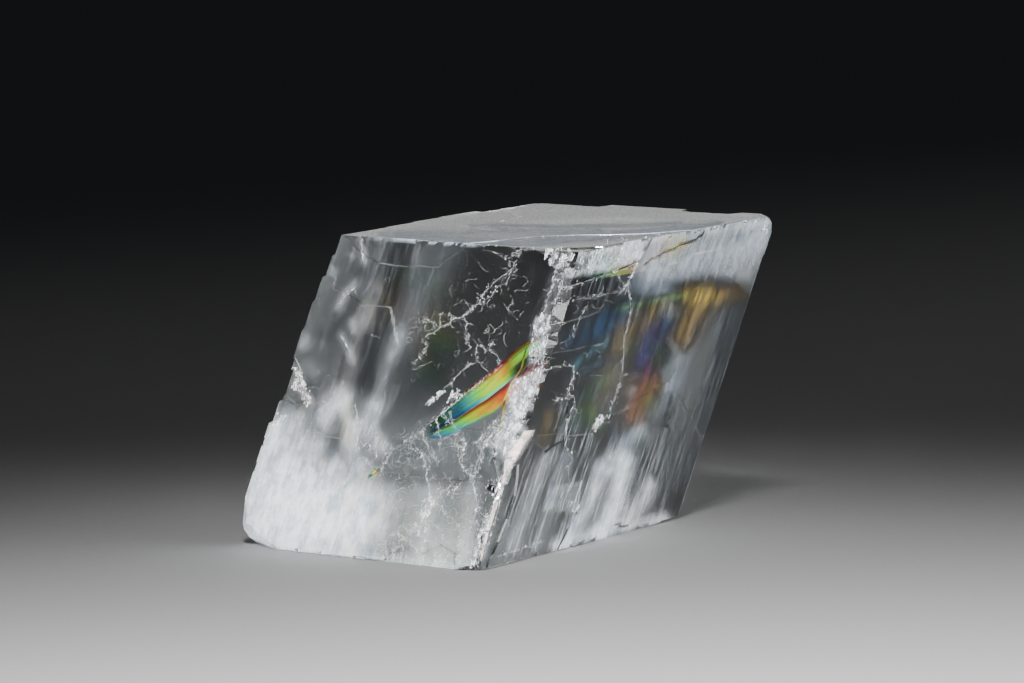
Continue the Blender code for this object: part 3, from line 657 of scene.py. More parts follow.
def grown_by(tree, points, edges, attributes, inputs, name):
    """Runs a Geometry Nodes tree on points with attributes, and returns a plain mesh."""
    seed_mesh = bpy.data.meshes.new(name + "_guide")
    seed_mesh.from_pydata(points, edges, [])
    for key, (kind, values) in attributes.items():
        layer = seed_mesh.attributes.new(key, kind, "POINT")
        field = "vector" if kind == "FLOAT_VECTOR" else "value"
        flat = [x for value in values for x in value] if kind == "FLOAT_VECTOR" else values
        layer.data.foreach_set(field, flat)
    guide = bpy.data.objects.new(name + "_guide", seed_mesh)
    bpy.context.scene.collection.objects.link(guide)
    modifier = guide.modifiers.new(tree.name, "NODES")
    modifier.node_group = tree
    for item in tree.interface.items_tree:
        if item.item_type == "SOCKET" and item.in_out == "INPUT" and item.name in inputs:
            modifier[item.identifier] = inputs[item.name]
    return plain_mesh_from(guide, name)


def new_tree(name, inputs):
    """An empty Geometry Nodes tree with a geometry in and out and these named inputs."""
    tree = bpy.data.node_groups.new(name, "GeometryNodeTree")
    tree.interface.new_socket("Geometry", in_out="INPUT", socket_type="NodeSocketGeometry")
    tree.interface.new_socket("Geometry", in_out="OUTPUT", socket_type="NodeSocketGeometry")
    for key, kind, default in inputs:
        socket = tree.interface.new_socket(key, in_out="INPUT", socket_type=kind)
        if default is not None:
            socket.default_value = default
    return tree, tree.nodes.new("NodeGroupInput"), tree.nodes.new("NodeGroupOutput")


def add_node(tree, kind, inputs=None, **values):
    """A new node with these settings and inputs, where an input is a value or another node's output."""
    made = tree.nodes.new(kind)
    for key, value in values.items():
        setattr(made, key, value)
    for key, value in (inputs or {}).items():
        feed(tree, made.inputs[key], value)
    return made


def feed(tree, socket, value):
    """Links an output to a socket, or gives the socket a plain value."""
    if isinstance(value, bpy.types.NodeSocket):
        tree.links.new(value, socket)
    else:
        socket.default_value = value


def named_attribute(tree, name, kind):
    made = add_node(tree, "GeometryNodeInputNamedAttribute", {"Name": name}, data_type=kind)
    return made.outputs["Attribute"]


def scaled(tree, vector, factor):
    made = add_node(tree, "ShaderNodeVectorMath", {0: vector, "Scale": factor}, operation="SCALE")
    return made.outputs["Vector"]


def added(tree, first, second):
    return add_node(tree, "ShaderNodeVectorMath", {0: first, 1: second}).outputs["Vector"]


def end_tree(tree, start, end, geometry):
    """Ends a tree with real geometry in the material that its input names."""
    realized = add_node(tree, "GeometryNodeRealizeInstances", {"Geometry": geometry})
    coloured = add_node(tree, "GeometryNodeSetMaterial", {
        "Geometry": realized.outputs["Geometry"],
        "Material": start.outputs["Material"],
    })
    tree.links.new(coloured.outputs["Geometry"], end.inputs["Geometry"])


def thread_tree():
    """Guide lines to closed tubes of uneven thickness."""
    tree, start, end = new_tree("calcite_threads", [
        ("Sides", "NodeSocketInt", THREAD_SIDES),
        ("Wander", "NodeSocketFloat", THREAD_WANDER),
        ("Seed", "NodeSocketInt", 1),
        ("Material", "NodeSocketMaterial", None),
    ])
    line = add_node(tree, "GeometryNodeMeshToCurve", {"Mesh": start.outputs["Geometry"]})
    offset = add_node(tree, "FunctionNodeRandomValue", {
        "Min": scaled(tree, (-1, -1, -1), start.outputs["Wander"]),
        "Max": scaled(tree, (1, 1, 1), start.outputs["Wander"]),
        "Seed": start.outputs["Seed"],
    }, data_type="FLOAT_VECTOR")
    shaken = add_node(tree, "GeometryNodeSetPosition", {
        "Geometry": line.outputs["Curve"],
        "Offset": offset.outputs["Value"],
    })
    ring = add_node(tree, "GeometryNodeCurvePrimitiveCircle", {
        "Resolution": start.outputs["Sides"],
        "Radius": 1.0,
    })
    tube = add_node(tree, "GeometryNodeCurveToMesh", {
        "Curve": shaken.outputs["Geometry"],
        "Profile Curve": ring.outputs["Curve"],
        "Scale": named_attribute(tree, "thick", "FLOAT"),
        "Fill Caps": True,
    })
    end_tree(tree, start, end, tube.outputs["Mesh"])
    return tree


def chip_tree():
    """A small cleavage rhomb on each guide point, of the size and turn that the point carries."""
    tree, start, end = new_tree("calcite_chips", [
        ("Unevenness", "NodeSocketFloat", FLECK_UNEVENNESS),
        ("Seed", "NodeSocketInt", 1),
        ("Material", "NodeSocketMaterial", None),
    ])
    cube = add_node(tree, "GeometryNodeMeshCube", {"Size": (1, 1, 1)})
    place = add_node(tree, "GeometryNodeInputPosition")
    split = add_node(tree, "ShaderNodeSeparateXYZ", {"Vector": place.outputs["Position"]})
    along_a, along_b, along_c = (
        scaled(tree, way, split.outputs[axis]) for axis, way in zip("XYZ", (ALONG_A, ALONG_B, ALONG_C))
    )
    rhomb = add_node(tree, "GeometryNodeSetPosition", {
        "Geometry": cube.outputs["Mesh"],
        "Position": added(tree, added(tree, along_a, along_b), along_c),
    })
    turn = add_node(tree, "FunctionNodeEulerToRotation", {
        "Euler": named_attribute(tree, "turn", "FLOAT_VECTOR"),
    })
    copies = add_node(tree, "GeometryNodeInstanceOnPoints", {
        "Points": start.outputs["Geometry"],
        "Instance": rhomb.outputs["Geometry"],
        "Rotation": turn.outputs["Rotation"],
        "Scale": named_attribute(tree, "size", "FLOAT_VECTOR"),
    })
    separate = add_node(tree, "GeometryNodeRealizeInstances", {"Geometry": copies.outputs["Instances"]})
    push = add_node(tree, "FunctionNodeRandomValue", {
        "Min": (-CHIP_DENT, -CHIP_DENT, -CHIP_DENT),
        "Max": (CHIP_DENT, CHIP_DENT, CHIP_DENT),
        "Seed": start.outputs["Seed"],
    }, data_type="FLOAT_VECTOR")
    dented = add_node(tree, "GeometryNodeSetPosition", {
        "Geometry": separate.outputs["Geometry"],
        "Offset": scaled(tree, push.outputs["Value"], start.outputs["Unevenness"]),
    })
    end_tree(tree, start, end, dented.outputs["Geometry"])
    return tree


def shared_tree(name, make):
    return bpy.data.node_groups.get(name) or make()


# Lines and points on the block


def wandering(points, share, dice):
    """A broken line through the points, its pieces halved until short, each middle moved off the line."""
    line = [Vector(p) for p in points]
    while max((b - a).length for a, b in zip(line, line[1:])) > LONGEST_PIECE:
        finer = [line[0]]
        for a, b in zip(line, line[1:]):
            step = b - a
            if step.length > LONGEST_PIECE:
                off = Vector((-step.y, step.x)) * dice.uniform(-1, 1) * share * 2
                finer.append((a + b) / 2 + off)
            finer.append(b)
        line = finer
    return line


def lay_line(line, thickness, dice, points, edges, thick):
    """Adds a line of pixels to the guides, laid half sunk into the block's skin and broken here and there."""
    count = len(line)
    joined = False
    least, added = THREAD_SWELL
    tip, growth = THREAD_TIP
    for i, pixel in enumerate(line):
        place, normal = on_skin(*pixel)
        wave = Vector((pixel.x * SWELL_WAVES, pixel.y * SWELL_WAVES, thickness * 40))
        swell = least + added * abs(noise.noise(wave))
        ends = min(1.0, tip + growth * min(i, count - 1 - i) / count)
        radius = thickness * THREAD_SHARE * MM / 2 * swell * ends * dice.uniform(*THREAD_UNEVEN)
        room = radius * THREAD_ROOM + THREAD_WANDER * THREAD_ROOM
        points.append(kept_inside(place - normal * radius * THREAD_SUNK, [room] * 3))
        thick.append(max(radius, THINNEST_THREAD))
        if joined:
            edges.append((len(points) - 2, len(points) - 1))
        joined = dice.random() > GAP_SHARE


def crack_guides(cracks, seed):
    """Guide points, edges and thicknesses for cracks with side twigs, and the pixels to scatter flecks at."""
    dice = random.Random(seed)
    points, edges, thick, flecks = [], [], [], []
    for path, thickness, share, twigs in cracks.values():
        line = wandering(path, share, dice)
        lay_line(line, thickness, dice, points, edges, thick)
        for a, b in zip(line, line[1:]):
            if dice.random() < twigs * (b - a).length:
                along = (b - a).normalized()
                away = Vector((-along.y, along.x)) * dice.choice((-1, 1))
                away += along * dice.uniform(-TWIG_LEAN, TWIG_LEAN)
                tip = a + away.normalized() * dice.uniform(*TWIG_REACH)
                twig = wandering([a, tip], TWIG_WANDER, dice)
                lay_line(twig, thickness * TWIG_SHARE, dice, points, edges, thick)
            for _ in range(dice.choice(FLECKS_BESIDE)):
                flecks.append(a + Vector((dice.gauss(0, FLECK_SPREAD), dice.gauss(0, FLECK_SPREAD))))
    return points, edges, thick, flecks


def chips_at(pixels, largest, dice, sunk, stretch):
    """The guide points, sizes and turns of chips lying on the skin at those pixels."""
    points, sizes, turns = [], [], []
    for pixel in pixels:
        place, normal = on_skin(*pixel)
        size = largest * MM * (CHIP_LEAST + (1 - CHIP_LEAST) * dice.random() ** CHIP_RARITY)
        length = size * dice.uniform(*CHIP_LENGTH) * dice.uniform(1.0, stretch) if stretch > 1 else size
        spans = (size * dice.uniform(*CHIP_WIDTH), size * dice.uniform(*CHIP_WIDTH), length)
        sizes.append(spans)
        turns.append([dice.gauss(0, CHIP_TURN) for _ in range(3)])
        ways = list(zip((ALONG_A, ALONG_B, ALONG_C), spans))
        halves = [sum(abs(way[axis]) * span for way, span in ways) * CHIP_ROOM for axis in range(3)]
        points.append(kept_inside(place - normal * size * sunk, halves))
    return points, sizes, turns


def kept_inside(place, room):
    """The place moved into the solid's box, with that much room to each side."""
    low, high = CAD_BOX
    return Vector([min(max(p, l + r), h - r) for p, l, h, r in zip(place, low, high, room)])


def inside(outline, x, y):
    """Whether a pixel is inside an outline."""
    within = False
    for (x0, y0), (x1, y1) in zip(outline, outline[1:] + outline[:1]):
        if (y0 > y) != (y1 > y) and x < (x1 - x0) * (y - y0) / (y1 - y0) + x0:
            within = not within
    return within


def pixels_within(outline, density, dice):
    """Random pixels inside an outline, thinned along its rim by a ragged noise."""
    xs, ys = [p[0] for p in outline], [p[1] for p in outline]
    spread = (max(xs) - min(xs)) * (max(ys) - min(ys))
    found = []
    for _ in range(int(spread * density)):
        x = dice.uniform(min(xs) - RIM_MARGIN, max(xs) + RIM_MARGIN)
        y = dice.uniform(min(ys) - RIM_MARGIN, max(ys) + RIM_MARGIN)
        shift = noise.noise(Vector((x * RIM_WAVES, y * RIM_WAVES, 3.0))) * RIM_REACH
        clump = noise.noise(Vector((x * CLUMP_ACROSS + y * CLUMP_SLANT, y * CLUMP_UP, 8.0)))
        if inside(outline, x + shift, y - shift) and dice.random() < CLUMP_KEPT + clump * CLUMP_CONTRAST:
            found.append((x, y))
    return found


# Painting of the skin


def nearest_on(path, px, py):
    """The distance in pixels from each point to a line through pixels."""
    nearest = np.full(px.shape, 1e9)
    for (x0, y0), (x1, y1) in zip(path, path[1:]):
        dx, dy = x1 - x0, y1 - y0
        share = np.clip(((px - x0) * dx + (py - y0) * dy) / (dx * dx + dy * dy), 0, 1)
        nearest = np.minimum(nearest, np.hypot(px - x0 - share * dx, py - y0 - share * dy))
    return nearest


def patch_strength(outline, soft, px, py):
    """1 inside an outline, 0 outside, smooth across a rim of that many pixels to each side."""
    within = np.zeros(px.shape, bool)
    closed = list(zip(outline, outline[1:] + outline[:1]))
    for (x0, y0), (x1, y1) in closed:
        if y0 != y1:
            crosses = ((y0 > py) != (y1 > py)) & (px < (x1 - x0) * (py - y0) / (y1 - y0) + x0)
            within ^= crosses
    distance = nearest_on(outline + outline[:1], px, py) * np.where(within, 1, -1)
    share = np.clip(distance / soft / 2 + 0.5, 0, 1)
    return share * share * (3 - 2 * share)


def facing(normals):
    """The name of the face that each normal belongs to."""
    names = list(FACE_NORMALS)
    table = np.array([FACE_NORMALS[name] for name in names])
    return np.array(names)[np.argmax(normals @ table.T, axis=1)]


def painted(places, normals):
    """The channels milk, crush, fibre, dark and stain, and the tint, of points on the skin."""
    faces = facing(normals)
    noise.seed_set(WARP_SEED)
    warp = np.array([noise.noise_vector(Vector(p) * WARP_WAVES) for p in places]) * WARP_REACH
    across, down = seen_at(places)
    px, py = across + warp[:, 0], down + warp[:, 1]
    channels = {name: np.zeros(len(places)) for name in ("milk", "crush", "fibre", "dark", "stain")}
    weight = {name: np.full(len(places), FAINT) for name in ("milk", "stain")}
    tint = {name: np.array(MILK_WHITE) * weight[name][:, None] for name in ("milk", "stain")}

    def lay(face, channel, strength, colour):
        on_face = np.isin(faces, ("left", "right")) if face == "front" else faces == face
        strength = np.where(on_face, strength, 0.0)
        channels[channel] = 1 - (1 - channels[channel]) * (1 - strength)
        if channel != "dark":
            layer = "stain" if channel == "stain" else "milk"
            weight[layer] = weight[layer] + strength
            tint[layer] = tint[layer] + strength[:, None] * np.array(colour)

    for face, channel, path, width, strength, colour in SOFT_STROKES:
        lay(face, channel, strength * np.exp(-(nearest_on(path, px, py) / width) ** 2), colour)
    for face, channel, outline, soft, strength, colour in SOFT_PATCHES:
        lay(face, channel, strength * patch_strength(outline, soft, px, py), colour)
    along = places / MM @ np.array(EDGE_FRAME).T + np.array(CORNER_OFFSET)
    hidden = np.isin(faces, ("back_left", "back_right", "base"))
    for middle, reach, strength in HIDDEN_CLOUDS:
        far = (((along - np.array(middle)) / np.array(reach)) ** 2).sum(axis=1)
        cloud = np.where(hidden, strength * np.exp(-far), 0.0)
        channels["milk"] = 1 - (1 - channels["milk"]) * (1 - cloud)
    channels["fibre"] = np.maximum(channels["fibre"], np.where(hidden, HIDDEN_FIBRE, 0.0))
    channels["milk"] *= 1 - channels["dark"]
    channels["crush"] *= 1 - channels["dark"]
    covered = MILK_COVER * channels["milk"] ** MILK_CONTRAST
    stained = (channels["stain"] / (channels["stain"] + covered + STAIN_FLOOR))[:, None]
    white, colour = (tint[name] / weight[name][:, None] for name in ("milk", "stain"))
    return channels, white * (1 - stained) + colour * stained


def cut_into_cells(bm, faces, direction, low, high, cell):
    """Cuts faces by planes across a direction, halving until a slab is no wider than a cell."""
    if high - low <= cell or not faces:
        return
    middle = (low + high) / 2
    geometry = set(faces)
    for face in faces:
        geometry.update(face.edges)
        geometry.update(face.verts)
    cut = bmesh.ops.bisect_plane(bm, geom=list(geometry), dist=1e-8, plane_co=direction * middle,
                                 plane_no=direction)
    parts = [item for item in cut["geom"] if isinstance(item, bmesh.types.BMFace)]
    above = [face for face in parts if face.calc_center_median().dot(direction) > middle]
    below = [face for face in parts if face.calc_center_median().dot(direction) <= middle]
    cut_into_cells(bm, below, direction, low, middle, cell)
    cut_into_cells(bm, above, direction, middle, high, cell)


# Materials


class Nodes:
    """A new material, with short calls for building its node tree."""

    def __init__(self, name):
        self.material = bpy.data.materials.new(name)
        self.material.use_nodes = True
        self.tree = self.material.node_tree
        self.shader = self.tree.nodes["Principled BSDF"]
        self.output = self.tree.nodes["Material Output"]

    def shade(self, name, value):
        """Feeds one of the shader's own sockets. A colour of three parts is made opaque."""
        if isinstance(value, tuple) and len(value) == 3:
            value = (*value, 1.0)
        feed(self.tree, self.shader.inputs[name], value)

    def node(self, kind, inputs=None, **values):
        return add_node(self.tree, kind, inputs, **values)

    def math(self, operation, first, second=0.0, clamp=False):
        made = self.node("ShaderNodeMath", {0: first, 1: second}, operation=operation, use_clamp=clamp)
        return made.outputs[0]

    def plus(self, first, second, clamp=False):
        return self.math("ADD", first, second, clamp)

    def less(self, first, second):
        return self.math("SUBTRACT", first, second)

    def times(self, first, second, clamp=False):
        return self.math("MULTIPLY", first, second, clamp)

    def combine(self, x, y, z):
        return self.node("ShaderNodeCombineXYZ", {0: x, 1: y, 2: z}).outputs["Vector"]

    def stretched(self, parts, factors):
        """A vector from three parts, each multiplied by its factor."""
        scaled = [part if factor == 1 else self.times(part, factor) for part, factor in zip(parts, factors)]
        return self.combine(*scaled)

    def step(self, value, low, high):
        """0 below low, 1 above high, smooth between."""
        made = self.node("ShaderNodeMapRange", {
            "Value": value,
            "From Min": low,
            "From Max": high,
        }, interpolation_type="SMOOTHSTEP")
        return made.outputs["Result"]

    def noise(self, vector, scale, detail, roughness=0.55, distortion=0.0):
        made = self.node("ShaderNodeTexNoise", {
            "Vector": vector,
            "Scale": scale,
            "Detail": detail,
            "Roughness": roughness,
            "Distortion": distortion,
        })
        return made.outputs["Fac"]

    def mix(self, share, first, second, blend="MIX"):
        """One colour or value gives way to another. A plain colour has three parts."""
        first, second = ((*part, 1.0) if isinstance(part, tuple) else part for part in (first, second))
        made = self.node("ShaderNodeMix", data_type="RGBA", blend_type=blend)
        for place, value in ((0, share), (6, first), (7, second)):
            feed(self.tree, made.inputs[place], value)
        return made.outputs[2]

    def ramp(self, value, stops):
        """A value read off between stops of place and height, each from 0 to 1."""
        made = self.node("ShaderNodeValToRGB", {"Fac": value})
        elements = made.color_ramp.elements
        while len(elements) < len(stops):
            elements.new(0.5)
        for element, (place, height) in zip(elements, stops):
            element.position = place
            element.color = (height, height, height, 1.0)
        return made.outputs["Color"]

    def attribute(self, name, output="Fac"):
        return self.node("ShaderNodeAttribute", attribute_name=name).outputs[output]

    def place(self):
        return self.node("ShaderNodeTexCoord").outputs["Object"]

    def along_edges(self):
        """The place along the block's three edges in millimetres, from the middle of the base."""
        place = self.place()
        dots = [self.node("ShaderNodeVectorMath", {0: place, 1: row / MM}, operation="DOT_PRODUCT")
                for row in EDGE_FRAME]
        return [dot.outputs["Value"] for dot in dots]

    def bump(self, height, distance, strength=1.0):
        made = self.node("ShaderNodeBump", {"Distance": distance, "Strength": strength, "Height": height})
        return made.outputs["Normal"]


def crystal_material():
    """Clear calcite, by plain transmission, refraction and absorption."""
    sheet = settings()
    n = Nodes("clear_calcite")
    scratches = n.noise(n.stretched(n.along_edges(), (1.4, 1.4, 0.22)), scale=2.6, detail=3.0, roughness=0.5)
    n.shade("Base Color", (*sheet.clear_colour, 1.0))
    n.shade("Roughness", sheet.face_roughness)
    n.shade("IOR", CALCITE_IOR)
    n.shade("Transmission Weight", 1.0)
    n.shade("Normal", n.bump(scratches, distance=0.010 * MM, strength=0.5))
    absorb = n.node("ShaderNodeVolumeAbsorption", {
        "Color": (*sheet.absorbed_colour, 1.0),
        "Density": sheet.absorption,
    })
    n.tree.links.new(absorb.outputs["Volume"], n.output.inputs["Volume"])
    return n.material


def milk_material():
    """Milky calcite: white streaks, veils and crushed places, as dense as the skin carries them."""
    n = Nodes("milky_calcite")
    edges = n.along_edges()
    streaky = n.stretched(edges, (1, 1, 0.16))
    streaks = n.noise(streaky, scale=0.9, detail=5.0, roughness=0.6, distortion=0.35)
    fine = n.noise(streaky, scale=4.5, detail=4.0, roughness=0.65)
    clouds = n.noise(n.stretched(edges, (1, 1, 1)), scale=0.35, detail=4.0, roughness=0.6, distortion=0.5)
    milk = n.math("POWER", n.attribute("milk"), MILK_CONTRAST)
    uneven = n.plus(n.times(streaks, 0.9), n.times(clouds, 0.7))
    hazy = n.times(milk, n.plus(uneven, 0.16))
    flecked = n.times(n.step(fine, low=0.46, high=0.74), n.times(milk, 0.30))
    hairs = n.noise(n.stretched(edges, (2, 2, 0.13)), scale=1.7, detail=4.0, roughness=0.62, distortion=0.2)
    fibres = n.times(n.step(hairs, low=0.47, high=0.72), n.attribute("fibre"))
    haze = n.plus(n.plus(hazy, flecked), n.times(fibres, 0.8), clamp=True)
    grains = n.noise(n.stretched(edges, (1, 1, 0.5)), scale=3.2, detail=6.0, roughness=0.7)
    broken = n.times(n.attribute("crush"), n.step(grains, low=0.34, high=0.62), clamp=True)
    patchy = n.plus(n.times(n.step(streaks, low=0.34, high=0.66), 0.95), 0.12)
    stain = n.times(n.attribute("stain"), patchy, clamp=True)
    mottle = n.noise(n.stretched(edges, (1, 1, 0.6)), scale=1.0, detail=6.0, roughness=0.68)
    tint = n.attribute("tint", "Color")
    shaded = n.mix(1.0, tint, SHADED_MILK, blend="MULTIPLY")
    n.shade("Base Color", n.mix(n.step(mottle, low=0.36, high=0.60), shaded, tint))
    n.shade("Alpha", n.math("MAXIMUM", n.math("MAXIMUM", haze, broken), stain))
    n.shade("Roughness", 0.5)
    n.shade("IOR", CALCITE_IOR)
    n.shade("Normal", n.bump(n.times(grains, n.attribute("crush")), distance=0.22 * MM))
    return n.material


def crushed_material():
    """Crushed calcite: white, with some grains that stay half clear."""
    n = Nodes("crushed_calcite")
    place = n.place()
    grains = n.noise(place, scale=2600.0, detail=3.0, roughness=0.6)
    clouds = n.noise(place, scale=1500.0, detail=3.0, roughness=0.6)
    n.shade("Base Color", n.mix(n.step(grains, low=0.35, high=0.65), CRUSHED_GREY, CRUSHED_WHITE))
    n.shade("Roughness", n.plus(n.times(grains, 0.4), 0.15))
    n.shade("IOR", CALCITE_IOR)
    n.shade("Transmission Weight", n.times(n.step(clouds, low=0.44, high=0.60), 0.85))
    return n.material


def shared_material(name, make):
    return bpy.data.materials.get(name) or make()


def film_material():
    """A film of air in a crack: the colours of light that meets itself, by the film's thickness. Its colours
    are also a painted glow, given off as emission though the film is no lamp.
    """
    sheet = settings()
    n = Nodes("rainbow_film")
    split = n.node("ShaderNodeSeparateXYZ", {"Vector": n.node("ShaderNodeUVMap").outputs["UV"]})
    along, across = split.outputs["X"], split.outputs["Y"]

    def spread(along_waves, across_waves, layer):
        return n.combine(n.times(along, along_waves), n.times(across, across_waves), layer)

    fibres = n.noise(spread(2.4, 14.0, 0.0), scale=1.4, detail=5.0, roughness=0.62)
    wave = n.noise(spread(5.0, 2.0, 2.0), scale=1.0, detail=2.0, roughness=0.5)
    patches = n.noise(spread(6.0, 10.0, 5.0), scale=1.0, detail=3.0)

    # Which film a place belongs to, and how far up that film it lies, from 0 to 1
    upper = n.step(across, FILM_STEP - FILM_STEP_BLUR, FILM_STEP + FILM_STEP_BLUR)
    within_upper = n.math("DIVIDE", n.less(across, FILM_STEP), 1 - FILM_STEP)
    within_lower = n.math("DIVIDE", across, FILM_STEP)
    rise = n.plus(n.times(within_upper, upper), n.times(within_lower, n.less(1.0, upper)))

    # The path of light across the film, in nanometres
    gap = n.times(n.mix(upper, n.ramp(along, FILM_LOWER_GAP), n.ramp(along, FILM_UPPER_GAP)), FILM_GAP_SCALE)
    tilt = n.times(n.math("POWER", n.less(rise, 0.5), 3.0), 4.0)
    gap = n.plus(gap, n.times(tilt, sheet.film_rise))
    gap = n.plus(gap, n.times(n.less(fibres, 0.5), FILM_FIBRE_PATH))
    gap = n.plus(gap, n.times(n.less(wave, 0.5), FILM_WAVE_PATH))

    # The brightness of the film's painted glow along the flaw, dimmed near its edges
    painted_glow = n.mix(upper, n.ramp(along, FILM_LOWER_PAINTED_GLOW), n.ramp(along, FILM_UPPER_PAINTED_GLOW))
    top_dim = n.times(n.step(rise, low=0.62, high=0.92), FILM_TOP_DIM)
    painted_glow = n.times(painted_glow, n.less(1.0, top_dim))
    foot_dim = n.times(n.step(along, low=0.70, high=0.80), n.less(1.0, n.step(rise, low=0.30, high=0.52)))
    painted_glow = n.times(painted_glow, n.less(1.0, n.times(foot_dim, upper)))

    colour = n.node("ShaderNodeCombineColor")
    for socket, wavelength in zip(colour.inputs, FILM_WAVELENGTHS):
        swing = n.math("SINE", n.times(gap, math.pi / wavelength))
        band = n.math("POWER", n.math("ABSOLUTE", swing), FILM_BAND_POWER)
        feed(n.tree, socket, n.times(band, painted_glow))
    n.shade("Base Color", n.mix(0.75, colour.outputs["Color"], (0, 0, 0)))
    # Painted glow: the film's colours are given off as emission, though the film is no lamp
    n.shade("Emission Color", colour.outputs["Color"])
    n.shade("Emission Strength", sheet.film_painted_glow)
    n.shade("Roughness", 0.3)
    dense = n.plus(n.times(n.step(patches, low=0.28, high=0.55), 0.35), 0.65)
    n.shade("Alpha", n.times(n.attribute("strength"), dense))
    return n.material


def flake_material():
    """A pale pink sliver of calcite, whitest at its upper end."""
    n = Nodes("pale_flake")
    streaks = n.noise(n.stretched(n.along_edges(), (1, 1, 0.2)), scale=5.0, detail=4.0, roughness=0.6)
    n.shade("Base Color", n.mix(n.step(streaks, low=0.35, high=0.65), FLAKE_PINK, FLAKE_WHITE))
    n.shade("Alpha", n.attribute("strength"))
    n.shade("Roughness", 0.35)
    n.shade("IOR", CALCITE_IOR)
    return n.material


def floor_material():
    """A pale, dull floor with a very fine grain."""
    n = Nodes("pale_floor")
    grain = n.noise(n.place(), scale=900.0, detail=3.0, roughness=0.6)
    n.shade("Base Color", n.mix(grain, FLOOR_DARK, FLOOR_LIGHT))
    n.shade("Roughness", 0.75)
    n.shade("Specular IOR Level", 0.15)
    return n.material


# Settings that a user would change


class CalciteSettings(bpy.types.PropertyGroup):
    grid: FloatProperty(name="Skin grid", description="Widest cell of the cloudy skin's mesh",
                        default=0.55 * MM, min=0.2 * MM, unit="LENGTH")
    skin_depth: FloatProperty(name="Skin depth", description="How far the clear crystal lies under its skin",
                              default=0.02 * MM, unit="LENGTH")
    edge_wear: FloatProperty(name="Edge wear", description="Width of the worn strip along each sharp edge",
                             default=0.05 * MM, unit="LENGTH")
    clear_colour: FloatVectorProperty(name="Clear colour", description="Colour of the clear crystal",
                                      default=(0.94, 0.955, 0.96), size=3, subtype="COLOR", min=0, max=1)
    absorbed_colour: FloatVectorProperty(name="Depth colour", description="Colour that long paths take on",
                                         default=(0.86, 0.93, 0.90), size=3, subtype="COLOR", min=0, max=1)
    absorption: FloatProperty(name="Absorption", description="How strongly long paths take on that colour",
                              default=6.0, min=0)
    face_roughness: FloatProperty(name="Face roughness", description="Roughness of a clean cleavage face",
                                  default=0.012, min=0, max=1, subtype="FACTOR")
    film_rise: FloatProperty(name="Film rise", description="Extra path across the film in nanometres",
                             default=300.0)
    # The strength of the film's painted glow: an emission, though the film is no lamp
    film_painted_glow: FloatProperty(name="Film glow", description="How strongly the film's colours shine",
                             default=1.15, min=0)
    chip_seed: IntProperty(name="Chip seed", description="Seed of the scattered chips", default=7)


# Operators: the crystal


def flat_shaded(mesh):
    """Shades each face flat, without the stored normals, which the new edges have made stale."""
    stored = mesh.attributes.get("custom_normal")
    if stored:
        mesh.attributes.remove(stored)
    mesh.shade_flat()


def block_copy():
    """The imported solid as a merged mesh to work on, with its plain faces whole."""
    bm = bmesh.new()
    bm.from_mesh(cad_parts[NODE].data)
    bmesh.ops.remove_doubles(bm, verts=bm.verts, dist=0.001 * MM)
    bmesh.ops.dissolve_limit(bm, angle_limit=math.radians(0.4), verts=bm.verts, edges=bm.edges)
    return bm


class CALCITE_OT_crystal(bpy.types.Operator):
    """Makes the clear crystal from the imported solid, its edges very slightly worn"""

    bl_idname = "calcite.crystal"
    bl_label = "Clear crystal"

    def execute(self, context):
        sheet = settings()
        bm = block_copy()
        low, high = (Vector(corner) for corner in CAD_BOX)
        middle = (low + high) / 2
        for vertex in bm.verts:
            for axis in range(3):
                share = 1 - 2 * sheet.skin_depth / (high[axis] - low[axis])
                vertex.co[axis] = middle[axis] + (vertex.co[axis] - middle[axis]) * share
        mesh = bpy.data.meshes.new("crystal")
        bm.to_mesh(mesh)
        bm.free()
        worn = bpy.data.objects.new("crystal_worn", mesh)
        context.scene.collection.objects.link(worn)
        bevel = worn.modifiers.new("worn_edges", "BEVEL")
        bevel.width = sheet.edge_wear
        bevel.segments = 1
        bevel.limit_method = "ANGLE"
        bevel.angle_limit = math.radians(25)
        bevel.use_clamp_overlap = True
        mesh = plain_mesh_from(worn, "crystal")
        flat_shaded(mesh)
        piece = finished("crystal", mesh, crystal_material())
        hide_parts(NODE)
        return {"FINISHED"}


class CALCITE_OT_cloudy_skin(bpy.types.Operator):
    """Makes the crystal's cloudy skin: a fine mesh on its surface that carries milk, fibres and tints"""

    bl_idname = "calcite.cloudy_skin"
    bl_label = "Cloudy skin"

    def execute(self, context):
        bm = block_copy()
        for normal in (ALONG_B.cross(ALONG_C), ALONG_C.cross(ALONG_A), ALONG_A.cross(ALONG_B)):
            direction = normal.normalized()
            reach = [v.co.dot(direction) for v in bm.verts]
            cut_into_cells(bm, bm.faces[:], direction, min(reach), max(reach), settings().grid)
        bm.normal_update()
        mesh = bpy.data.meshes.new("cloudy_skin")
        bm.to_mesh(mesh)
        bm.free()
        places = np.empty(len(mesh.vertices) * 3)
        mesh.vertices.foreach_get("co", places)
        normals = np.empty(len(mesh.vertices) * 3)
        mesh.vertices.foreach_get("normal", normals)
        channels, tint = painted(places.reshape(-1, 3), normals.reshape(-1, 3))
        for name in ("milk", "crush", "fibre", "stain"):
            mesh.attributes.new(name, "FLOAT", "POINT").data.foreach_set("value", channels[name])
        colours = np.concatenate((tint, np.ones((len(tint), 1))), axis=1)
        mesh.attributes.new("tint", "FLOAT_COLOR", "POINT").data.foreach_set("color", colours.ravel())
        flat_shaded(mesh)
        finished("cloudy_skin", mesh, milk_material())
        return {"FINISHED"}


# Operators: cracks and crushed places


def add_threads(name, points, edges, thick, seed, sides=THREAD_SIDES):
    """Grows white threads along guide lines, as a piece."""
    white = shared_material("crushed_calcite", crushed_material)
    tree = shared_tree("calcite_threads", thread_tree)
    inputs = {"Material": white, "Seed": seed, "Sides": sides}
    finished(name, grown_by(tree, points, edges, {"thick": ("FLOAT", thick)}, inputs, name), white)


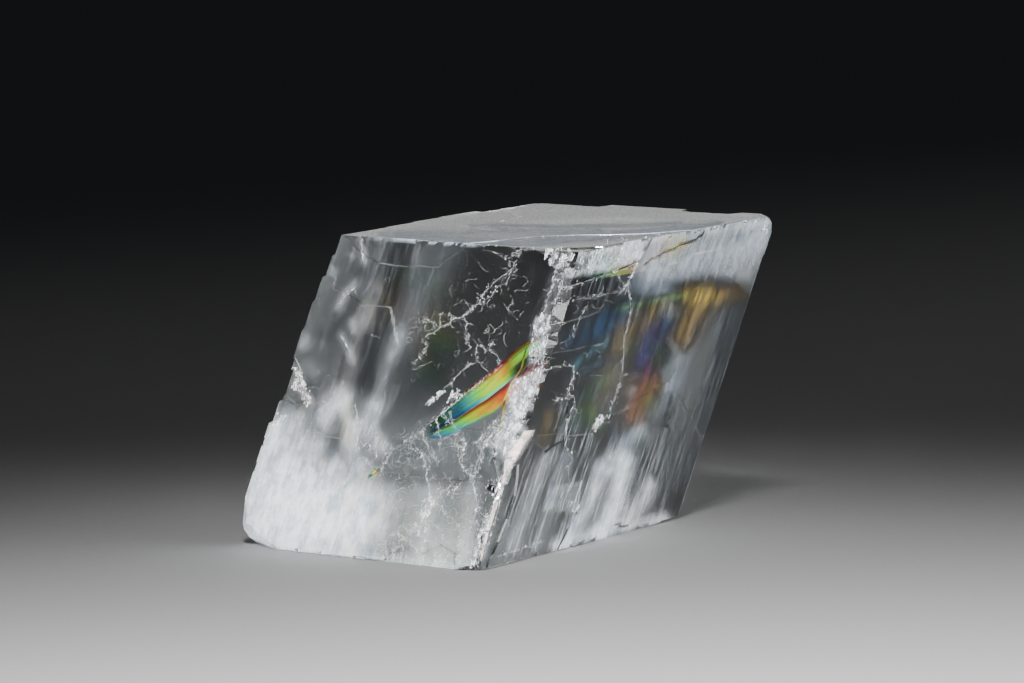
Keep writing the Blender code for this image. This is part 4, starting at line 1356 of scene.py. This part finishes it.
def add_chips(name, points, sizes, turns, seed, unevenness):
    """Sets white chips on guide points, as a piece."""
    white = shared_material("crushed_calcite", crushed_material)
    tree = shared_tree("calcite_chips", chip_tree)
    attributes = {"size": ("FLOAT_VECTOR", sizes), "turn": ("FLOAT_VECTOR", turns)}
    inputs = {"Material": white, "Seed": seed, "Unevenness": unevenness}
    finished(name, grown_by(tree, points, [], attributes, inputs, name), white)


def add_cracks(name, cracks, seed):
    """Makes cracks as white threads in the skin, with flecks along them."""
    points, edges, thick, spots = crack_guides(cracks, seed)
    add_threads(name, points, edges, thick, seed)
    flecks = chips_at(spots, FLECK_SIZE, random.Random(seed + 1), FLECK_SUNK, FLECK_STRETCH)
    add_chips(name + "_flecks", *flecks, seed, FLECK_UNEVENNESS)


class CALCITE_OT_left_cracks(bpy.types.Operator):
    """Makes the branching cracks of the left face"""

    bl_idname = "calcite.left_cracks"
    bl_label = "Left face cracks"

    def execute(self, context):
        cracks = dict(LEFT_CRACKS)
        dice = random.Random(TICK_SEED)
        first, last = (Vector(pixel) for pixel in EDGE_TICK_PLACES)
        for i in range(EDGE_TICKS):
            foot = first.lerp(last, (i + dice.uniform(*EDGE_TICK_STRAY)) / EDGE_TICKS)
            reach = dice.uniform(*EDGE_TICK_REACH)
            tip = foot + Vector((dice.uniform(*EDGE_TICK_LEAN), -reach))
            cracks[f"tick_{i}"] = ([foot, tip], *EDGE_TICK_LOOKS)
        add_cracks("left_cracks", cracks, LEFT_SEED)
        return {"FINISHED"}


class CALCITE_OT_right_cracks(bpy.types.Operator):
    """Makes the thin angular lines of the right face"""

    bl_idname = "calcite.right_cracks"
    bl_label = "Right face cracks"

    def execute(self, context):
        add_cracks("right_cracks", RIGHT_CRACKS, RIGHT_SEED)
        return {"FINISHED"}


class CALCITE_OT_wisps(bpy.types.Operator):
    """Makes the hair-fine curling wisps between the cracks"""

    bl_idname = "calcite.wisps"
    bl_label = "Fine wisps"

    def execute(self, context):
        dice = random.Random(WISP_SEED)
        points, edges, thick = [], [], []
        for outline, count, reach in WISPS.values():
            for x, y in pixels_within(outline, WISP_DENSITY, dice)[:count]:
                heading = dice.uniform(0, math.tau)
                turn = dice.gauss(0, WISP_BEND)
                length = reach * dice.uniform(*WISP_LENGTH)
                line = [Vector((x, y))]
                for _ in range(int(length / WISP_STEP)):
                    heading += turn + dice.gauss(0, WISP_SHAKE)
                    line.append(line[-1] + Vector((math.cos(heading), math.sin(heading))) * WISP_STEP)
                if len(line) > 2:
                    lay_line(line, dice.uniform(*WISP_THICKNESS), dice, points, edges, thick)
        add_threads("wisps", points, edges, thick, WISP_SEED, WISP_SIDES)
        return {"FINISHED"}


class CALCITE_OT_front_lines(bpy.types.Operator):
    """Makes the white rims, rungs and combed splinters of the crushed front edge"""

    bl_idname = "calcite.front_lines"
    bl_label = "Front edge lines"

    def execute(self, context):
        lines = dict(FRONT_LINES)
        for i in range(COMB_TEETH):
            share = i / (COMB_TEETH - 1) * (len(COMB_TOP) - 1)
            k = min(int(share), len(COMB_TOP) - 2)
            top = Vector(COMB_TOP[k]).lerp(Vector(COMB_TOP[k + 1]), share - k)
            foot = Vector(COMB_FOOT[k]).lerp(Vector(COMB_FOOT[k + 1]), share - k)
            lines[f"tooth_{i}"] = ([top, foot], *COMB_LOOKS)
        add_cracks("front_lines", lines, FRONT_SEED)
        return {"FINISHED"}


class CALCITE_OT_crushed(bpy.types.Operator):
    """Makes the crushed white patches from small cleavage chips"""

    bl_idname = "calcite.crushed"
    bl_label = "Crushed patches"

    def execute(self, context):
        seed = settings().chip_seed
        dice = random.Random(seed)
        guides = ([], [], [])
        for outline, density, largest, stretch in CRUSHED_PATCHES.values():
            spots = pixels_within(outline, density, dice)
            for whole, found in zip(guides, chips_at(spots, largest, dice, CHIP_SUNK, stretch)):
                whole += found
        add_chips("crushed_patches", *guides, seed, CHIP_UNEVENNESS)
        return {"FINISHED"}


# Operator: the rainbow flaw


def along_path(path, share):
    """The pixel at a share of a path's length."""
    points = [Vector(p) for p in path]
    lengths = [(b - a).length for a, b in zip(points, points[1:])]
    left = share * sum(lengths)
    for point, following, length in zip(points, points[1:], lengths):
        if left <= length:
            return point.lerp(following, left / length)
        left -= length
    return points[-1]


def strip_between(name, top_path, foot_path, columns, rows, place_at, fade_at):
    """A sheet between two lines of pixels, with its own UV map and a strength at each point."""
    bm = bmesh.new()
    uv = bm.loops.layers.uv.new("film")
    strength = bm.verts.layers.float.new("strength")
    grid = []
    for i in range(columns + 1):
        u = i / columns
        top, foot = along_path(top_path, u), along_path(foot_path, u)
        column = []
        for j in range(rows + 1):
            v = j / rows
            ragged = FILM_RAGGED * noise.noise(Vector((u * FILM_RAGGED_WAVES, 3.0, 0.0))) * (1 - v)
            pixel = foot.lerp(top, v) + Vector((0.0, ragged))
            vertex = bm.verts.new(place_at(pixel, v))
            vertex[strength] = fade_at(u, v)
            column.append((vertex, (u, v)))
        grid.append(column)
    for left, right in zip(grid, grid[1:]):
        for j in range(rows):
            corners = (left[j], right[j], right[j + 1], left[j + 1])
            face = bm.faces.new([vertex for vertex, _ in corners])
            for loop, (_, place) in zip(face.loops, corners):
                loop[uv].uv = place
    bm.normal_update()
    mesh = bpy.data.meshes.new(name)
    bm.to_mesh(mesh)
    bm.free()
    mesh.shade_smooth()
    return mesh


def on_plate(pixel, _):
    """The place just proud of the skin that shows at that pixel."""
    place, normal = on_skin(pixel.x, pixel.y)
    return kept_inside(place + normal * PLATE_LIFT, [0.0] * 3)


def thickened(mesh, name):
    """The sheet as a thin closed plate."""
    sheet = bpy.data.objects.new(name + "_sheet", mesh)
    bpy.context.scene.collection.objects.link(sheet)
    solid = sheet.modifiers.new("thickness", "SOLIDIFY")
    solid.thickness = PLATE_THICKNESS
    solid.offset = -1
    return plain_mesh_from(sheet, name)


class CALCITE_OT_rainbow_film(bpy.types.Operator):
    """Makes the rainbow flaw: a film of air in a crack a little under the left face, its colours a painted
    glow
    """

    bl_idname = "calcite.rainbow_film"
    bl_label = "Rainbow flaw"

    def execute(self, context):
        def under_face(pixel, v):
            depth = (FILM_FOOT_DEPTH + (FILM_TOP_DEPTH - FILM_FOOT_DEPTH) * v) * MM
            return under_left_face(pixel.x, pixel.y, depth)

        def fade(u, v):
            from_ends = min(1.0, u / FILM_TIP_FADE) * min(1.0, (1 - u) / FILM_END_FADE)
            return from_ends * min(1.0, v / FILM_FOOT_FADE)

        mesh = strip_between("rainbow_film", FILM_TOP, FILM_FOOT, FILM_COLUMNS, FILM_ROWS, under_face, fade)
        finished("rainbow_film", mesh, shared_material("rainbow_film", film_material))
        return {"FINISHED"}


class CALCITE_OT_small_flakes(bpy.types.Operator):
    """Makes the pale pink flake beside the crushed edge and the small rainbow glint in the milk, a painted
    highlight that glows
    """

    bl_idname = "calcite.small_flakes"
    bl_label = "Pale flake and glint"

    def execute(self, context):
        def flake_fade(u, v):
            broken = noise.noise(Vector((u * 16.0, v * 2.5, 1.0)))
            strength, change = FLAKE_HEAD_STRENGTH if u < FLAKE_HEAD else FLAKE_TAIL_STRENGTH
            rim, added = FLAKE_RIM
            along_rim = added if u >= FLAKE_HEAD and v < rim else 0.0
            return min(max(strength + change * broken + along_rim, 0.0), 1.0)

        def glint_fade(u, v):
            return GLINT_STRENGTH * min(1.0, *(share / GLINT_FADE for share in (u, v, 1 - u, 1 - v)))

        flake = strip_between("pale_flake", FLAKE_RIGHT, FLAKE_LEFT, *FLAKE_CELLS, on_plate, flake_fade)
        finished("pale_flake", thickened(flake, "pale_flake"), flake_material())
        # The glint is a painted highlight: a plate in the film's glowing material
        glint = strip_between("rainbow_glint", GLINT_TOP, GLINT_FOOT, *GLINT_CELLS, on_plate, glint_fade)
        film = shared_material("rainbow_film", film_material)
        finished("rainbow_glint", thickened(glint, "rainbow_glint"), film)
        return {"FINISHED"}


# Operator: the stage


def add_light(name, place, aim, width, height, watts, spread):
    data = bpy.data.lights.new(name, "AREA")
    data.energy = watts
    data.size = width
    data.spread = math.radians(spread)
    if height:
        data.shape = "RECTANGLE"
        data.size_y = height
    light = bpy.data.objects.new(name, data)
    light.location = place
    light.rotation_euler = (Vector(aim) - Vector(place)).to_track_quat("-Z", "Y").to_euler()
    bpy.context.scene.collection.objects.link(light)
    return light


class CALCITE_OT_stage(bpy.types.Operator):
    """Makes the pale floor, the soft lights and the camera at the photograph's angle"""

    bl_idname = "calcite.stage"
    bl_label = "Stage"

    def execute(self, context):
        bm = bmesh.new()
        bmesh.ops.create_grid(bm, x_segments=1, y_segments=1, size=FLOOR_REACH)
        mesh = bpy.data.meshes.new("floor")
        bm.to_mesh(mesh)
        bm.free()
        mesh.materials.append(floor_material())
        floor = bpy.data.objects.new("floor", mesh)
        context.scene.collection.objects.link(floor)
        world = bpy.data.worlds.new("studio")
        context.scene.world = world
        world.use_nodes = True
        world.node_tree.nodes["Background"].inputs["Color"].default_value = (*ROOM_GREY, 1)
        for name, looks in RAKING_LIGHTS.items():
            add_light(name, *looks).light_linking.receiver_collection = lit_pieces()
        for name, looks in STAGE_LIGHTS.items():
            add_light(name, *looks)
        data = bpy.data.cameras.new("camera")
        data.lens = SENSOR * LENS_PIXELS / PHOTO_WIDTH
        data.sensor_width = SENSOR
        data.clip_start = NEAREST_SEEN
        data.clip_end = FARTHEST_SEEN
        camera = bpy.data.objects.new("camera", data)
        turn = Matrix((EYE_RIGHT, EYE_UP, -EYE_FORWARD)).transposed().to_4x4()
        camera.matrix_world = Matrix.Translation(EYE) @ turn
        context.scene.collection.objects.link(camera)
        context.scene.camera = camera
        return {"FINISHED"}


class CALCITE_PT_panel(bpy.types.Panel):
    """Lists the pieces of the calcite block"""

    bl_idname = "CALCITE_PT_panel"
    bl_label = "Clear Calcite Block"
    bl_space_type = "VIEW_3D"
    bl_region_type = "UI"
    bl_category = "Calcite"

    def draw(self, context):
        column = self.layout.column()
        for key in CalciteSettings.__annotations__:
            column.prop(context.scene.calcite, key)
        for operator in OPERATORS:
            column.operator(operator.bl_idname)


OPERATORS = (
    CALCITE_OT_stage,
    CALCITE_OT_crystal,
    CALCITE_OT_cloudy_skin,
    CALCITE_OT_rainbow_film,
    CALCITE_OT_small_flakes,
    CALCITE_OT_left_cracks,
    CALCITE_OT_right_cracks,
    CALCITE_OT_wisps,
    CALCITE_OT_front_lines,
    CALCITE_OT_crushed,
)
CLASSES = (CalciteSettings, *OPERATORS, CALCITE_PT_panel)


def register():
    for item in CLASSES:
        bpy.utils.register_class(item)
    bpy.types.Scene.calcite = PointerProperty(type=CalciteSettings)


def unregister():
    del bpy.types.Scene.calcite
    for item in reversed(CLASSES):
        bpy.utils.unregister_class(item)


def run_operator(operator):
    category, name = operator.bl_idname.split(".")
    getattr(getattr(bpy.ops, category), name)()


def main():
    register()
    for operator in OPERATORS:
        run_operator(operator)


if __name__ == "__main__":
    main()
